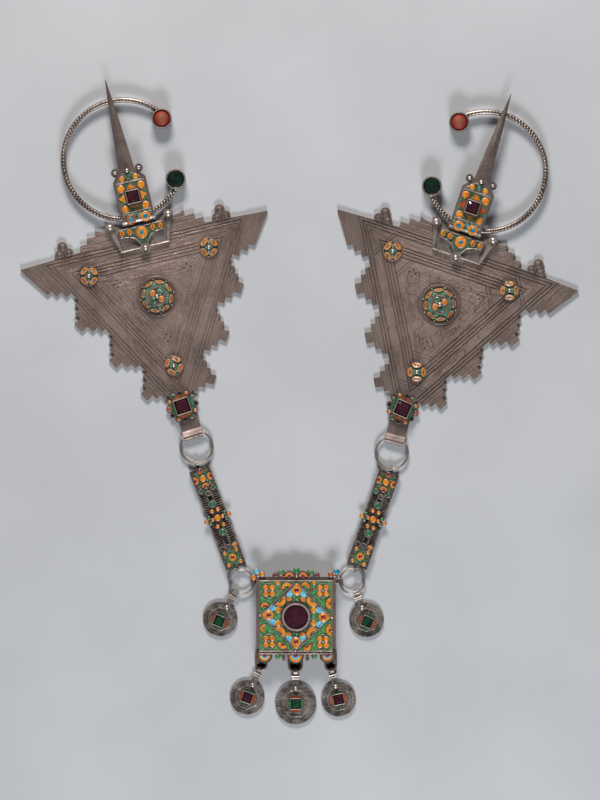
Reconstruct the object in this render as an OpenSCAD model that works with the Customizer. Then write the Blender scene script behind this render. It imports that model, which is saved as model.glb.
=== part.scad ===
// A joined pair of large triangular cloak brooches with enamelled bosses, laid flat.
// Each brooch has a turning hoop and a lifting pin. Straps and rings join the pair
// to a square amulet box with coin drops. Back of the jewel on z = 0, units in mm.

/* [Brooch places] */
// Middle of the left brooch's base line, across and up the jewel
left_at = [-121.1, 125.7]; // [-200:0.1:200]
// Turn of the left brooch, top away from the middle
left_turn = 13.5; // [0:0.1:30]
// Middle of the right brooch's base line, across and up the jewel
right_at = [123.5, 118.1]; // [-200:0.1:200]
// Turn of the right brooch, top away from the middle
right_turn = 18.7; // [0:0.1:30]

/* [Brooch plate] */
// Thickness of the cast plate
plate_t = 2.4; // [1.8:0.1:3]
// Length of each side of the plate's base triangle
tri_side = 159.7; // [159:0.1:160.5]
// Reach of each wing tip from the middle
wing_tip = 98.9; // [97:0.1:100]
// Depth of the cast grooves
groove_d = 0.4; // [0.2:0.1:0.6]
// Width of the cast grooves
groove_w = 0.8; // [0.4:0.1:1.2]
// Radius of the small drilled holes
hole_r = 0.6; // [0.5:0.1:0.9]

/* [Bosses] */
// Radius of the middle boss at its rim
boss_r = 15; // [14:0.5:15.5]
// Height of the middle boss above the plate
boss_h = 9; // [8:0.5:11]
// Radius of each small boss at its rim
small_boss_r = 7.7; // [7:0.1:8]

/* [Hoop] */
// Radius of the hoop, to the middle of its wire
hoop_rad = 46.5; // [46:0.1:47]
// Radius of the hoop's wire
wire_r = 2.1; // [1.8:0.1:2.2]
// Height of the middle of the hoop's wire
hoop_z = 5.2; // [5.2:0.1:5.6]
// Radius of the stone cups on the hoop's ends
cup_r = 7.9; // [7:0.1:8]

/* [Pin] */
// Width of the pin's head and barrel
head_w = 26; // [24:0.5:27]
// Outer radius of the barrel that turns on the hoop
barrel_r = 5; // [4.9:0.1:5.1]
// Thickness of the head and of the barrel's wall
head_t = 0.8; // [0.7:0.1:0.9]
// Distance of the pin's tip above the base line
pin_tip = 129; // [124:1:132]

/* [Rings] */
// Height of the middle of every link's wire
link_z = 2.8; // [2.8:0.1:3]
// Inner radius of the small eyes that hold the links
eye_r = 1.7; // [1.65:0.05:1.75]
// Radius of the large ring under each brooch
big_ring_r = 12.5; // [12:0.1:13]
// Radius of the lower rings
low_ring_r = 9.5; // [9.3:0.1:9.7]
// Radius of the lower rings' wire
ring_wire_r = 0.9; // [0.8:0.05:0.95]

/* [Straps] */
// Width of the straps
strap_w = 16.5; // [16:0.5:17]
// Number of gaps in each pierced column
rungs = 26; // [22:1:28]
// Size of the square plaques
plaque_w = 16.6; // [16:0.1:16.7]

/* [Box] */
// Middle of the amulet box, across and up the jewel
box_at = [-2.6, -167.5]; // [-200:0.1:200]
// Width of the box
box_w = 62; // [61:0.5:63]
// Depth of the box, back to lid
box_t = 10; // [9:0.5:11]
// Radius of the round glass in the box
box_glass_r = 9.2; // [9:0.1:9.4]

/* [Coins] */
// Radius of the four small coins
coin_r = 13.5; // [13:0.1:13.8]
// Radius of the middle coin
mid_coin_r = 16.1; // [16:0.1:16.5]
// Thickness of the coins
coin_t = 1.8; // [1.5:0.1:2]

/* [Hidden] */
$fn = 48;
gap = 0.1;
cut = 1;
plate_top = plate_t + gap;
tri_in = tri_side / (2 * sqrt(3));
tri_low = -tri_side * sqrt(3) / 2;
knuckle_w = 8;
knuckle_r = 3.9;
head_z = hoop_z + barrel_r - head_t;
hoop_mid = [-1, 65.5];
hinge_v = hoop_mid.y - hoop_rad;
eye_out = eye_r + 0.6;
// Share of the eye's wall that a neck reaches into
eye_seat = eye_r + 0.3;
tongue_end = -156.6;

// The side frame of the plate starts at the wing tip, runs down the slanted edge
// and measures outward from the base triangle.
side_start = [tri_side / 2 + 4.75, 8.23];
function along(s, out) = [
    side_start.x - s * cos(60) + out * sin(60),
    side_start.y - s * sin(60) - out * cos(60)
];

// Steps of a merlon, outward from the slanted edge
step_out = [4.3, 8.7, 14.7];
// One row for each merlon: [middle along the side, half widths of its three steps]
merlons = [
    [63.2, [15, 10, 4.25]],
    [102.2, [15, 10, 4.25]],
    [137.7, [12.5, 8, 3.75]]
];
function merlon(m) = let (s = m[0], half = m[1]) [
    along(s - half[0], 0), along(s - half[0], step_out[0]),
    along(s - half[1], step_out[0]), along(s - half[1], step_out[1]),
    along(s - half[2], step_out[1]), along(s - half[2], step_out[2]),
    along(s + half[2], step_out[2]), along(s + half[2], step_out[1]),
    along(s + half[1], step_out[1]), along(s + half[1], step_out[0]),
    along(s + half[0], step_out[0]), along(s + half[0], 0)
];

// Steps along the top edge, from the crest outward: [place across, height]
top_steps = [
    [21, 13.4], [27, 14.4], [31, 14.7], [35.5, 16.5], [35.5, 12], [43, 12],
    [43, 7.5], [49.3, 7.5], [49.3, 3]
];
// Steps under a wing: [distance along the side, outward]
wing_steps = [[28.4, 14.6], [28.4, 10], [34, 10], [34, 5], [39.7, 5], [39.7, 0]];
plate_foot = -135;
function half_plate() = concat(
    top_steps,
    [[wing_tip, 0.6], [wing_tip, -0.6]],
    [for (w = wing_steps) along(w[0], w[1])],
    [for (m = merlons) each merlon(m)],
    [[-(tri_low - plate_foot) / sqrt(3), plate_foot]]
);
function mirrored(points) = [
    for (i = [len(points) - 1:-1:0]) [-points[i].x, points[i].y]
];

module left_brooch() translate([left_at.x, left_at.y, 0]) rotate(left_turn) children();
module right_brooch()
    translate([right_at.x, right_at.y, 0]) rotate(-right_turn) mirror([1, 0, 0]) children();

module ring(r_in, r_out, h) difference() {
    cylinder(r = r_out, h = h);
    translate([0, 0, -cut]) cylinder(r = r_in, h = h + 2 * cut);
}
// A wire bent round, from angle a for sweep degrees
module bow(r, wire, a = 0, sweep = 360)
    rotate(a) rotate_extrude(angle = sweep) translate([r, 0]) circle(wire);
// A round cap of radius r and height h
module cap(r, h) {
    ball = (r * r + h * h) / (2 * h);
    intersection() {
        translate([0, 0, h - ball]) sphere(ball);
        cylinder(r = r, h = h);
    }
}
// A silver grain on a low collar
module grain(r, collar = 1.4) {
    cylinder(r = r * collar, h = r * 0.4);
    translate([0, 0, r * 0.7]) sphere(r);
}
// An almond with its points on the x axis
module almond(long, wide, h) {
    r = (long * long + wide * wide) / (4 * wide);
    linear_extrude(h) intersection() {
        translate([0, r - wide / 2]) circle(r);
        translate([0, wide / 2 - r]) circle(r);
    }
}
module slab(w, d, h) translate([-w / 2, -d / 2, 0]) cube([w, d, h]);
module square_frame(w, wall, h) difference() {
    slab(w, w, h);
    translate([0, 0, -cut]) slab(w - 2 * wall, w - 2 * wall, h + 2 * cut);
}
// A square with cut corners
module eight_sided(w, corner) {
    a = w / 2;
    b = a - corner;
    polygon([[a, -b], [a, b], [b, a], [-b, a], [-a, b], [-a, -b], [-b, -a], [b, -a]]);
}
// A step-cut glass stone with a flat table
module table_cut(w, h) hull() {
    linear_extrude(h * 0.35) eight_sided(w, w * 0.1);
    linear_extrude(h * 0.7) eight_sided(w * 0.86, w * 0.1);
    linear_extrude(h) eight_sided(w * 0.62, w * 0.08);
}
// A small tube lying along x, through which a wire passes
module eye(w) translate([0, 0, link_z]) rotate([0, 90, 0])
    translate([0, 0, -w / 2]) ring(eye_r, eye_out, w);

// Insets of the grooves from the base triangle's edges
groove_insets = [-1.8, 0.7, 3.2, 10.8, 13.2, 15.6, 18.2];
module inset_triangle(inset) {
    k = (tri_in - inset) / tri_in;
    translate([0, -tri_in]) polygon([
        [-tri_side / 2 * k, tri_in * k], [tri_side / 2 * k, tri_in * k], [0, -2 * tri_in * k]
    ]);
}
module groove(inset) translate([0, 0, plate_t - groove_d]) linear_extrude(groove_d + cut)
    difference() {
        inset_triangle(inset);
        inset_triangle(inset + groove_w);
    }

// Middles of the groups of four drilled holes
hole_groups = [[-28, -27.5], [28, -27.5], [0, -77.5]];
hole_ring = 2.7;
// Lobes of the knobs on the top edge: [place across, height, radius]
knob_lobes = [[63, 10.2, 4], [59.2, 4.5, 3.6], [66.8, 4.5, 3.6]];
knob_border = 1.2;
knob_dome_h = 1.1;
tongue_z = 0.3;
tongue_t = 1.3;
module plate() color("dimgray") {
    difference() {
        linear_extrude(plate_t) union() {
            polygon(concat(half_plate(), mirrored(half_plate())));
            for (side = [-1, 1], k = knob_lobes) translate([side * k[0], k[1]]) circle(k[2]);
        }
        for (inset = groove_insets) groove(inset);
        for (g = hole_groups, a = [0:90:270])
            translate([g.x, g.y, -cut]) rotate(a) translate([hole_ring, 0, 0])
                cylinder(r = hole_r, h = plate_t + 2 * cut);
    }
    for (side = [-1, 1], k = knob_lobes)
        translate([side * k[0], k[1], plate_t]) cap(k[2] - knob_border, knob_dome_h);
    translate([-knuckle_w / 2, 12.5, tongue_z]) cube([knuckle_w, hinge_v - 12, tongue_t]);
    translate([-knuckle_w / 2, hinge_v, hoop_z]) rotate([0, 90, 0])
        ring(wire_r + 0.5, knuckle_r, knuckle_w);
}

boss_at = [0, -44.3];
petals = 8;
module boss_centre() color("darkorange") translate([boss_at.x, boss_at.y, plate_top]) {
    ring(boss_r - 1.4, boss_r, 1.3);
    cylinder(r = boss_r - 1, h = 0.8);
    cylinder(r1 = 12.6, r2 = 8.6, h = boss_h - 3);
    for (i = [0:petals - 1]) rotate((i + 0.5) * 360 / petals)
        translate([10.2, 0, 2.8]) rotate([0, 56, 0]) rotate(90) almond(7.4, 5.2, 1.4);
    translate([0, 0, boss_h - 3.4]) cylinder(r = 7.2, h = 2.2);
    translate([0, 0, boss_h - 1.2]) {
        for (a = [45:90:315]) rotate(a) translate([4, 0, 0]) cap(2.4, 1.1);
        grain(1.5);
    }
}

// Middles of the small bosses
small_bosses = [[-48, -16.5], [48, -16.5], [0, -99.8]];
// Turns of their petals on each brooch, since no two were soldered on alike
petal_turns_l = [31.5, 31.5, 55];
petal_turns_r = [71.3, 26.3, 71.3];
module boss_small(i, turns) color("darkorange")
translate([small_bosses[i].x, small_bosses[i].y, plate_top]) rotate(turns[i]) {
    ring(small_boss_r - 0.9, small_boss_r, 1.2);
    cylinder(r = small_boss_r - 0.5, h = 0.8);
    cylinder(r1 = 6.6, r2 = 2.6, h = 3.6);
    for (a = [0:90:270]) rotate(a) translate([4.6, 0, 1.9]) rotate([0, 42, 0]) rotate(90)
        almond(6.8, 4.2, 1);
    translate([0, 0, 3.4]) grain(1.3);
}

// Half outline of the tray that holds the crest: [place across, height]
tray_half = [[14.5, 13.3], [20, 16.8], [26, 17.6], [19.5, -5]];
tray_floor_t = 1;
tray_wall_h = 3.2;
tray_wall = 1.7;
tray_ball_at = [23.3, 16.3];
module crest_frame() color("gray") translate([0, 0, plate_top]) {
    outline = concat(tray_half, mirrored(tray_half));
    inside = [[tray_half[2].x - tray_wall, 30], tray_half[3] + [-tray_wall, tray_wall]];
    linear_extrude(tray_floor_t) polygon(outline);
    difference() {
        linear_extrude(tray_wall_h) polygon(outline);
        translate([0, 0, tray_floor_t / 2]) linear_extrude(tray_wall_h)
            polygon(concat(inside, mirrored(inside)));
    }
    for (side = [-1, 1]) translate([side * tray_ball_at.x, tray_ball_at.y, tray_floor_t / 2]) {
        cylinder(r = 3.7, h = tray_wall_h + 0.4);
        translate([0, 0, tray_wall_h + 1.6]) sphere(2.5);
    }
}

// Half outline of the enamelled crest: [place across, height]
crest_half = [[18, 13], [18, 5.2], [11, 4.6], [6.5, 2.6], [3.8, -1.2], [3, -3.1]];
crest_z = plate_top + tray_floor_t + gap;
// Enamel ovals on each arm, place across
crest_ovals = [-15.3, -9.3, 9.3, 15.3];
module crest() color("orange") translate([0, 0, crest_z]) {
    linear_extrude(2.6) polygon(concat(crest_half, mirrored(crest_half)));
    translate([0, 7, 2.4]) {
        cylinder(r = 5, h = 0.7);
        cap(4.4, 1.7);
    }
    for (x = crest_ovals) translate([x, 9, 2.4]) rotate(90) almond(5.4, 4, 0.9);
    translate([0, -5.5, 2.4]) {
        cylinder(r = 4.2, h = 1.2);
        translate([0, 0, 1.8]) sphere(2.1);
    }
}

// Where the pierced slot in the barrel starts, measured up from the front
slot_from = 140;
barrel_to = 235;
curl_to = 330;
curl_in = knuckle_w / 2 + 0.4;
curl_out = 9;
needle_stations = [
    // place up, half width, underside, ridge
    [54, 6.4, 9.4, 10.6],
    [90, 3.8, 8.5, 10.4],
    [112, 2, 7.6, 9.6],
    [pin_tip, 0.2, 8, 8.6]
];
module needle_slice(s) translate([0, s[0], 0]) rotate([90, 0, 0]) linear_extrude(0.01)
    polygon([[-s[1], s[2]], [s[1], s[2]], [s[1], s[2] + (s[3] - s[2]) / 2], [0, s[3]],
             [-s[1], s[2] + (s[3] - s[2]) / 2]]);
// The barrel's wall about the hinge, from the tip's side over the top to the front
module barrel_wall(from, to, w, r = barrel_r - head_t, t = head_t)
    translate([0, hinge_v, hoop_z]) rotate([90, 0, 90]) translate([0, 0, -w / 2])
        rotate(from) rotate_extrude(angle = to - from) translate([r, 0]) square([t, w]);
// Raised enamel rings that follow the bend from the head into the barrel
barrel_ring_at = [5.8, 18.4];
barrel_ring_t = 0.3;
module barrel_rings() intersection() {
    union() {
        barrel_wall(90, 160, head_w, barrel_r - 0.2, 0.2 + barrel_ring_t);
        translate([-head_w / 2, hinge_v - 0.1, hoop_z + barrel_r - 0.2])
            cube([head_w, 6, 0.2 + barrel_ring_t]);
    }
    for (side = [-1, 1]) translate([side * barrel_ring_at.x, barrel_ring_at.y, hoop_z])
        ring(1.6, 4.1, 2 * barrel_r);
}
bezel_at = 35.2;
pin_stone_w = 9.3;
bezel_h = 4.2;
// Round enamel drops on the pin's head: [place across, place up, radius]
head_drops = [[8, 43, 2.8], [8, 27, 2.6], [5.2, 50.6, 2]];
module pin() color("orange") {
    difference() {
        barrel_wall(90, barrel_to, head_w);
        translate([-curl_in, 0, 0])
            cube([2 * curl_in, hinge_v + 2, hoop_z + barrel_r * sin(slot_from)]);
    }
    for (side = [-1, 1]) translate([side * (curl_in + curl_out) / 2, 0, 0])
        barrel_wall(barrel_to - 1, curl_to, curl_out - curl_in);
    translate([0, 0, head_z]) linear_extrude(head_t) polygon([
        [-head_w / 2, hinge_v], [head_w / 2, hinge_v], [head_w / 2, 49], [8, 55],
        [2.5, 59.5], [-2.5, 59.5], [-8, 55], [-head_w / 2, 49]
    ]);
    for (side = [-1, 1]) translate([side * 9.5, 56.3, head_z - 0.4]) {
        cylinder(r = 3.2, h = head_t + 0.6);
        translate([0, 0, head_t + 0.5]) cap(1.7, 1.6);
    }
    translate([0, bezel_at, head_z]) {
        slab(13, 13, head_t + 1);
        translate([0, 0, head_t + 0.6]) difference() {
            slab(pin_stone_w + 1.6, pin_stone_w + 1.6, bezel_h - 0.6);
            translate([0, 0, 1]) slab(pin_stone_w + 0.2, pin_stone_w + 0.2, bezel_h);
        }
    }
    for (side = [-1, 1], d = head_drops) translate([side * d[0], d[1], head_z + head_t - 0.1])
        cap(d[2], 0.9);
    translate([0, 0, head_z + head_t - 0.1]) linear_extrude(0.6) {
        for (side = [-1, 1]) polygon([[side * 6, 31], [side * 10.8, 35.2], [side * 6, 39.4]]);
        polygon([[-4, 41.3], [4, 41.3], [0, 46]]);
        polygon([[-4, 29.1], [4, 29.1], [0, 24.4]]);
    }
    translate([0, 51.5, head_z + head_t - 0.1]) ring(1.4, 3.2, 0.7);
    translate([0, 56, head_z + head_t - 0.1]) grain(1.6);
    barrel_rings();
    for (i = [0:2]) hull() {
        needle_slice(needle_stations[i]);
        needle_slice(needle_stations[i + 1]);
    }
}
module pin_stone() color("maroon")
    translate([0, bezel_at, head_z + head_t + 1.7]) table_cut(pin_stone_w, bezel_h - 1.4);

// Angles of the hoop's two ends about its middle. The coral ends were bent apart
coral_turn_l = 33;
coral_turn_r = 42.6;
glass_turn = -34;
// How far the two ends are bent in from the circle of the wire
cup_in = 2.7;
// Angle that a cup takes from the wire on each side of its middle
cup_turn = 7;
cup_z = 0.4;
cup_h = 8.6;
module on_hoop(a) translate([hoop_mid.x, hoop_mid.y, 0]) rotate(a)
    translate([hoop_rad - cup_in, 0, 0]) children();
module cup() translate([0, 0, cup_z]) {
    cylinder(r1 = cup_r - 1.6, r2 = cup_r, h = 3);
    translate([0, 0, 3]) cylinder(r = cup_r, h = cup_h - 3);
}
module hoop(coral_turn) color("silver") {
    difference() {
        union() {
            translate([hoop_mid.x, hoop_mid.y, hoop_z]) bow(
                hoop_rad, wire_r, coral_turn + cup_turn, 360 + glass_turn - coral_turn - 2 * cup_turn
            );
            for (a = [coral_turn, glass_turn]) on_hoop(a) cup();
        }
        for (a = [coral_turn, glass_turn]) on_hoop(a) translate([0, 0, cup_z + 5.5])
            cylinder(r = cup_r - 1.2, h = cup_h);
    }
}
module hoop_coral(coral_turn) color("indianred")
    on_hoop(coral_turn) translate([0, 0, cup_z + 5.6]) cap(cup_r - 1.3, 5.4);
module hoop_glass() color("darkgreen") on_hoop(glass_turn) translate([0, 0, cup_z + 5.6]) {
    cylinder(r = cup_r - 1.3, h = 2);
    translate([0, 0, 1.9]) cylinder(r1 = cup_r - 1.4, r2 = cup_r - 2.6, h = 1.1);
}

// Middles of the two rosettes, each on its own brooch
rosette_l_at = [-0.9, -132.2];
rosette_r_at = [1.3, -130.4];
rosette_lobes = 12;
rosette_stone_w = 10.6;
module on_rosette(at) translate([at.x, at.y, plate_top]) children();
module rosette() color("orange") {
    cylinder(r = 9.6, h = 2.2);
    for (i = [0:rosette_lobes - 1]) rotate(i * 360 / rosette_lobes) translate([10.4, 0, 0]) {
        cylinder(r = i % 2 == 0 ? 2.7 : 2.2, h = 1.2);
        translate([0, 0, 1.1]) cap(i % 2 == 0 ? 2 : 1.4, 0.8);
    }
    rotate(5) {
        slab(12.6, 12.6, 3);
        translate([0, 0, 2.9]) square_frame(12.4, 0.8, 3.2);
    }
}
module rosette_stone() color("maroon")
    translate([0, 0, 3.1]) rotate(5) table_cut(rosette_stone_w, 3.6);

tongue_w = 15.4;
tongue_mid = 0.7;
roll_r = 1.9;
big_wire_r = 1;
ring_mid = [0.5, tongue_end - 9.1];
// Turns of the two tongues about the plate's foot, each with its ring
foot_turn_l = 3.5;
foot_turn_r = -4;
module on_foot(turn) translate([tongue_mid, plate_foot, 0]) rotate(turn)
    translate([-tongue_mid, -plate_foot, 0]) children();
module tongue() color("gray") translate([tongue_mid, 0, 0]) {
    translate([-tongue_w / 2, tongue_end + 1.4, link_z - roll_r])
        cube([tongue_w, plate_foot - tongue_end - 2.1, 1.2]);
    translate([-tongue_w / 2, plate_foot - 9, link_z - roll_r]) cube([tongue_w, 8.3, 1.5]);
    translate([0, tongue_end, link_z]) rotate([0, 90, 0]) translate([0, 0, -tongue_w / 2])
        ring(big_wire_r + 0.2, roll_r, tongue_w);
}
// A round wire ring with one straight stretch, which turns in the tongue
straight_wire_r = 1.06;
module link_ring() color("silver") translate([ring_mid.x, ring_mid.y, link_z]) {
    up = tongue_end - ring_mid.y;
    half = sqrt(big_ring_r * big_ring_r - up * up);
    open = atan2(half, up);
    bow(big_ring_r, big_wire_r, 90 + open, 360 - 2 * open);
    translate([-half - 0.6, up, 0]) rotate([0, 90, 0])
        cylinder(r = straight_wire_r, h = 2 * half + 1.2);
}

// One row for each strap: [middle of the upper plaque, turn, distance down to the lower
// plaque, distance up to the top eye, distance down to the bottom eye]
strap_rows = [
    [[-75.2, -59.4], 20.7, 65.6, 12.92, 76.4],
    [[67.5, -62.3], -19.1, 61.3, 11.15, 72.0]
];
strap_z = 1.4;
strap_t = 1.2;
rail_w = 1.5;
strap_eye_w = 1.6;
middle_w = 5.6;
module on_strap(row) translate([row[0].x, row[0].y, 0]) rotate(row[1]) children();
module strap(row) color("dimgray") on_strap(row) {
    up_end = plaque_w / 2;
    low_end = -row[2] - plaque_w / 2;
    clear = row[2] - plaque_w;
    step = clear / rungs;
    column_w = (strap_w - middle_w) / 2 - rail_w;
    difference() {
        translate([-strap_w / 2, low_end, strap_z]) cube([strap_w, up_end - low_end, strap_t]);
        for (side = [-1, 1], i = [0:rungs - 1])
            translate([side * (middle_w + column_w) / 2, -up_end - (i + 0.5) * step, strap_z - cut])
                slab(column_w, step * 0.5, strap_t + 2 * cut);
    }
    for (side = [-1, 1], x = [middle_w / 2 - 0.65, strap_w / 2 - 0.65])
        translate([side * x - 0.65, -up_end - clear, strap_z + strap_t - 0.2])
            cube([1.3, clear, 1]);
    for (y = [row[3], -row[4]]) translate([0, y, 0]) eye(strap_eye_w);
    translate([-strap_eye_w / 2, up_end - cut, strap_z])
        cube([strap_eye_w, row[3] - eye_seat - up_end + cut, strap_t]);
    translate([-strap_eye_w / 2, -row[4] + eye_seat, strap_z])
        cube([strap_eye_w, low_end + row[4] - eye_seat + cut, strap_t]);
}
plaque_z = strap_z + strap_t + gap;
plaque_t = 1.6;
low_disc_y = -12.2;
cross_z = strap_z + strap_t + 0.9;
module plaque_upper(row) color("orange") on_strap(row) translate([0, 0, plaque_z]) {
    slab(plaque_w, plaque_w, plaque_t);
    translate([0, 0, plaque_t - 0.1]) {
        square_frame(plaque_w, 0.7, 0.6);
        cap(2.6, 1.2);
        for (a = [0:90:270]) rotate(a) translate([5.6, 0, 0]) rotate(90) almond(7.4, 2.8, 0.7);
    }
    translate([0, 0, cross_z - plaque_z]) {
        for (x = [-5, 5]) translate([x, -plaque_w / 2 - 0.6, 0]) cylinder(r = 2.3, h = 0.7);
        translate([0, -plaque_w / 2 - 2, 0]) slab(2, 5, 0.6);
        translate([0, low_disc_y, 0]) cylinder(r = 2.6, h = 0.7);
    }
}
module plaque_lower(row) color("orange") on_strap(row) translate([0, -row[2], plaque_z]) {
    slab(plaque_w, plaque_w, plaque_t);
    translate([0, 0, plaque_t - 0.1]) {
        square_frame(plaque_w, 0.7, 0.6);
        ring(1.6, 3.6, 0.8);
        cap(1.5, 0.9);
        for (x = [-4.8, 4.8], y = [-4.8, 4.8]) translate([x, y, 0]) cap(1.6, 0.8);
    }
    for (x = [-5, 0, 5]) translate([x, plaque_w / 2 + 0.4, cross_z - plaque_z])
        cylinder(r = 2.4, h = 0.7);
}
// Beads of the cross: [place across, place down the strap, radius]
cross_beads = [
    [0, 0, 2.9], [2.4, 6.3, 1.6], [2.4, -6.3, 1.6], [-2.4, 6.3, 1.6], [-2.4, -6.3, 1.6],
    [4.1, 0, 1.4], [-4.1, 0, 1.4], [6.6, 2.2, 1.5], [6.6, -2.2, 1.5], [-6.6, 2.2, 1.5],
    [-6.6, -2.2, 1.5], [9.2, 0, 1.7], [-9.2, 0, 1.7], [0, 11.5, 3], [0, -11.5, 3]
];
module strap_cross(row) color("orange") on_strap(row) translate([0, -row[2] / 2, cross_z]) {
    slab(16, 2.6, 0.9);
    slab(2.6, 22, 0.9);
    slab(6.4, 14.4, 0.9);
    for (side = [-1, 1]) translate([side * 6.6, 0, 0]) slab(2.2, 5, 0.9);
    for (b = cross_beads) translate([b[0], b[1], 0]) {
        cylinder(r = b[2], h = 1.1);
        translate([0, 0, 1]) cap(b[2] * 0.8, b[2] * 0.5);
    }
}

lower_rings = [[-45.2, -139.9], [41.1, -139.4]];
module lower_ring(i) color("silver") translate([lower_rings[i].x, lower_rings[i].y, link_z])
    bow(low_ring_r, ring_wire_r);

// A coin drop, with its ring eye at the origin and its coin hanging toward -y.
// The stone's own turn is measured in the same frame.
bail_w = 5.2;
collar_r = 7.2;
drop_stone_w = 7.4;
module coin_drop(reach, r, rivet, eye_w, turn = 0, low = 0) color("gray") {
    translate([0, -reach, 0]) {
        cylinder(r = r, h = coin_t - 0.3);
        ring(r - 1.3, r, coin_t);
        for (a = [0, 45]) rotate(a + turn) translate([0, 0, coin_t - 0.4]) square_frame(r * 1.2, 0.7, 0.4);
        translate([0, -low, 0]) cylinder(r = collar_r, h = coin_t + 1);
        translate([0, -low, coin_t + 0.9]) rotate(turn) square_frame(drop_stone_w + 1.7, 0.75, 2.7);
    }
    eye(eye_w);
    translate([0, 0, coin_t - 0.4]) linear_extrude(1.3) polygon([
        [-eye_w / 2, -eye_r - 0.2], [eye_w / 2, -eye_r - 0.2], [bail_w / 2, -eye_r - 3],
        [1.9, -rivet - 1.8], [-1.9, -rivet - 1.8], [-bail_w / 2, -eye_r - 3]
    ]);
    translate([0, -rivet, coin_t + 0.8]) grain(1.4, 1.2);
}
module drop_stone(reach, turn, colour, low = 0) color(colour)
    translate([0, -reach - low, coin_t + 1.1]) rotate(turn) table_cut(drop_stone_w, 2.8);

// One row for each side drop: [ring it hangs on, turn about that ring, distance from the
// eye to the coin's middle, distance to the rivet, turn of the stone]
side_rows = [[0, -29.6, 23.9, 13.4, 7.6], [1, 20.5, 22.7, 12.7, 46.5]];
side_eye_w = 4.6;
// How far the side coins' settings sit below the coins' middles
side_low = 1.6;
module on_side_drop(row) translate([lower_rings[row[0]].x, lower_rings[row[0]].y, 0])
    rotate(row[1]) translate([0, -low_ring_r, 0]) children();
module side_coin(row) on_side_drop(row) 
    coin_drop(row[2], coin_r, row[3], side_eye_w, row[4], side_low);
module side_stone(row) on_side_drop(row) 
    drop_stone(row[2], row[4], "darkgreen", side_low);

// Loops under the box: [middle across, middle up, radius]
loop_rows = [[-27, -37, 4], [-0.5, -37.5, 5], [27, -37.6, 4]];
loop_wire_r = 0.9;
// One row for each drop under the box: [loop, turn about that loop, distance from the
// eye to the coin's middle, distance to the rivet, turn of the stone]
box_rows = [[0, -23.3, 23.8, 13.4, 3], [1, 0.6, 25, 13.3, -0.6], [2, 13.2, 23.1, 12.9, -1.2]];
loop_eye_w = 3;
module on_box() translate([box_at.x, box_at.y, 0]) children();
module on_box_drop(row) on_box() translate([loop_rows[row[0]][0], loop_rows[row[0]][1], 0])
    rotate(row[1]) translate([0, -loop_rows[row[0]][2], 0]) children();
module box_coin(row, r) on_box_drop(row) coin_drop(row[2], r, row[3], loop_eye_w, row[4]);
module box_drop_stone(row, colour) on_box_drop(row) drop_stone(row[2], row[4], colour);

// Beads of the two corner trefoils: [place across, place up, radius]
trefoils = [
    [-30.8, 36, 2.2], [-26.4, 33.8, 2], [-33, 31, 2], [-29.6, 33.2, 2.4],
    [31.5, 35.5, 2.2], [27, 33.4, 2], [33.2, 31.4, 2], [30, 33, 2.4]
];
box_top = 31.5;
box_foot = -28.5;
rail_foot = -36;
box_rail_w = 2.4;
// Eyes on the sides of the box that hold the lower rings: [place across, place up]
box_eyes = [[-33.1, 27.6], [34.2, 28.1]];
module box() color("gray") on_box() {
    translate([-box_w / 2, box_foot, 0]) cube([box_w, box_top - box_foot, box_t]);
    for (side = [-1, 1]) translate([side * (box_w - box_rail_w) / 2 - box_rail_w / 2, 0, 0]) {
        translate([0, rail_foot, 0]) cube([box_rail_w, box_top - rail_foot, box_t]);
        translate([0, face_low + 1.5, 0]) cube([box_rail_w, box_top - face_low - 1.5, box_t + 1.2]);
    }
    for (e = box_eyes) translate([e.x, e.y, 0]) rotate(90) eye(2.6);
    translate([box_w / 2 - cut, box_eyes[1].y - 1.3, link_z - 1])
        cube([box_eyes[1].x - eye_seat - box_w / 2 + cut, 2.6, 2]);
    for (t = trefoils) translate([t[0], t[1], box_t + 0.2]) {
        cylinder(r = t[2], h = 1.6);
        translate([0, 0, 1.5]) cap(t[2] * 0.8, 1);
    }
    for (l = loop_rows) translate([l[0], 0, 0]) {
        translate([0, l[1], link_z]) bow(l[2], loop_wire_r, 180, 180);
        for (side = [-1, 1]) translate([side * l[2], l[1], link_z]) rotate([-90, 0, 0])
            cylinder(r = loop_wire_r, h = box_foot - l[1] + 1);
    }
}

face_w = 57;
face_low = -26;
face_top = 29;
face_z = box_t + gap;
face_t = 1.3;
wire_t = 0.7;
// Size of the diamond's open middle beside its outline
diamond_in = 0.9;
diamond = [[0, 28], [27, 0.8], [0, -25.5], [-27, 1.8]];
// Corner flowers: middle of each
flowers = [[-21, 21], [21, 21], [21, -19], [-21, -18.6]];
// Drops at the diamond's points: middle of each
points = [[0.5, 21.2], [21.2, 0.4], [0, -18.8], [-21.2, 2]];
// Tabs under the face: [middle across, radius]
tabs = [[-24.5, 6.3], [-0.3, 6.5], [24.5, 6.3]];
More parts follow.
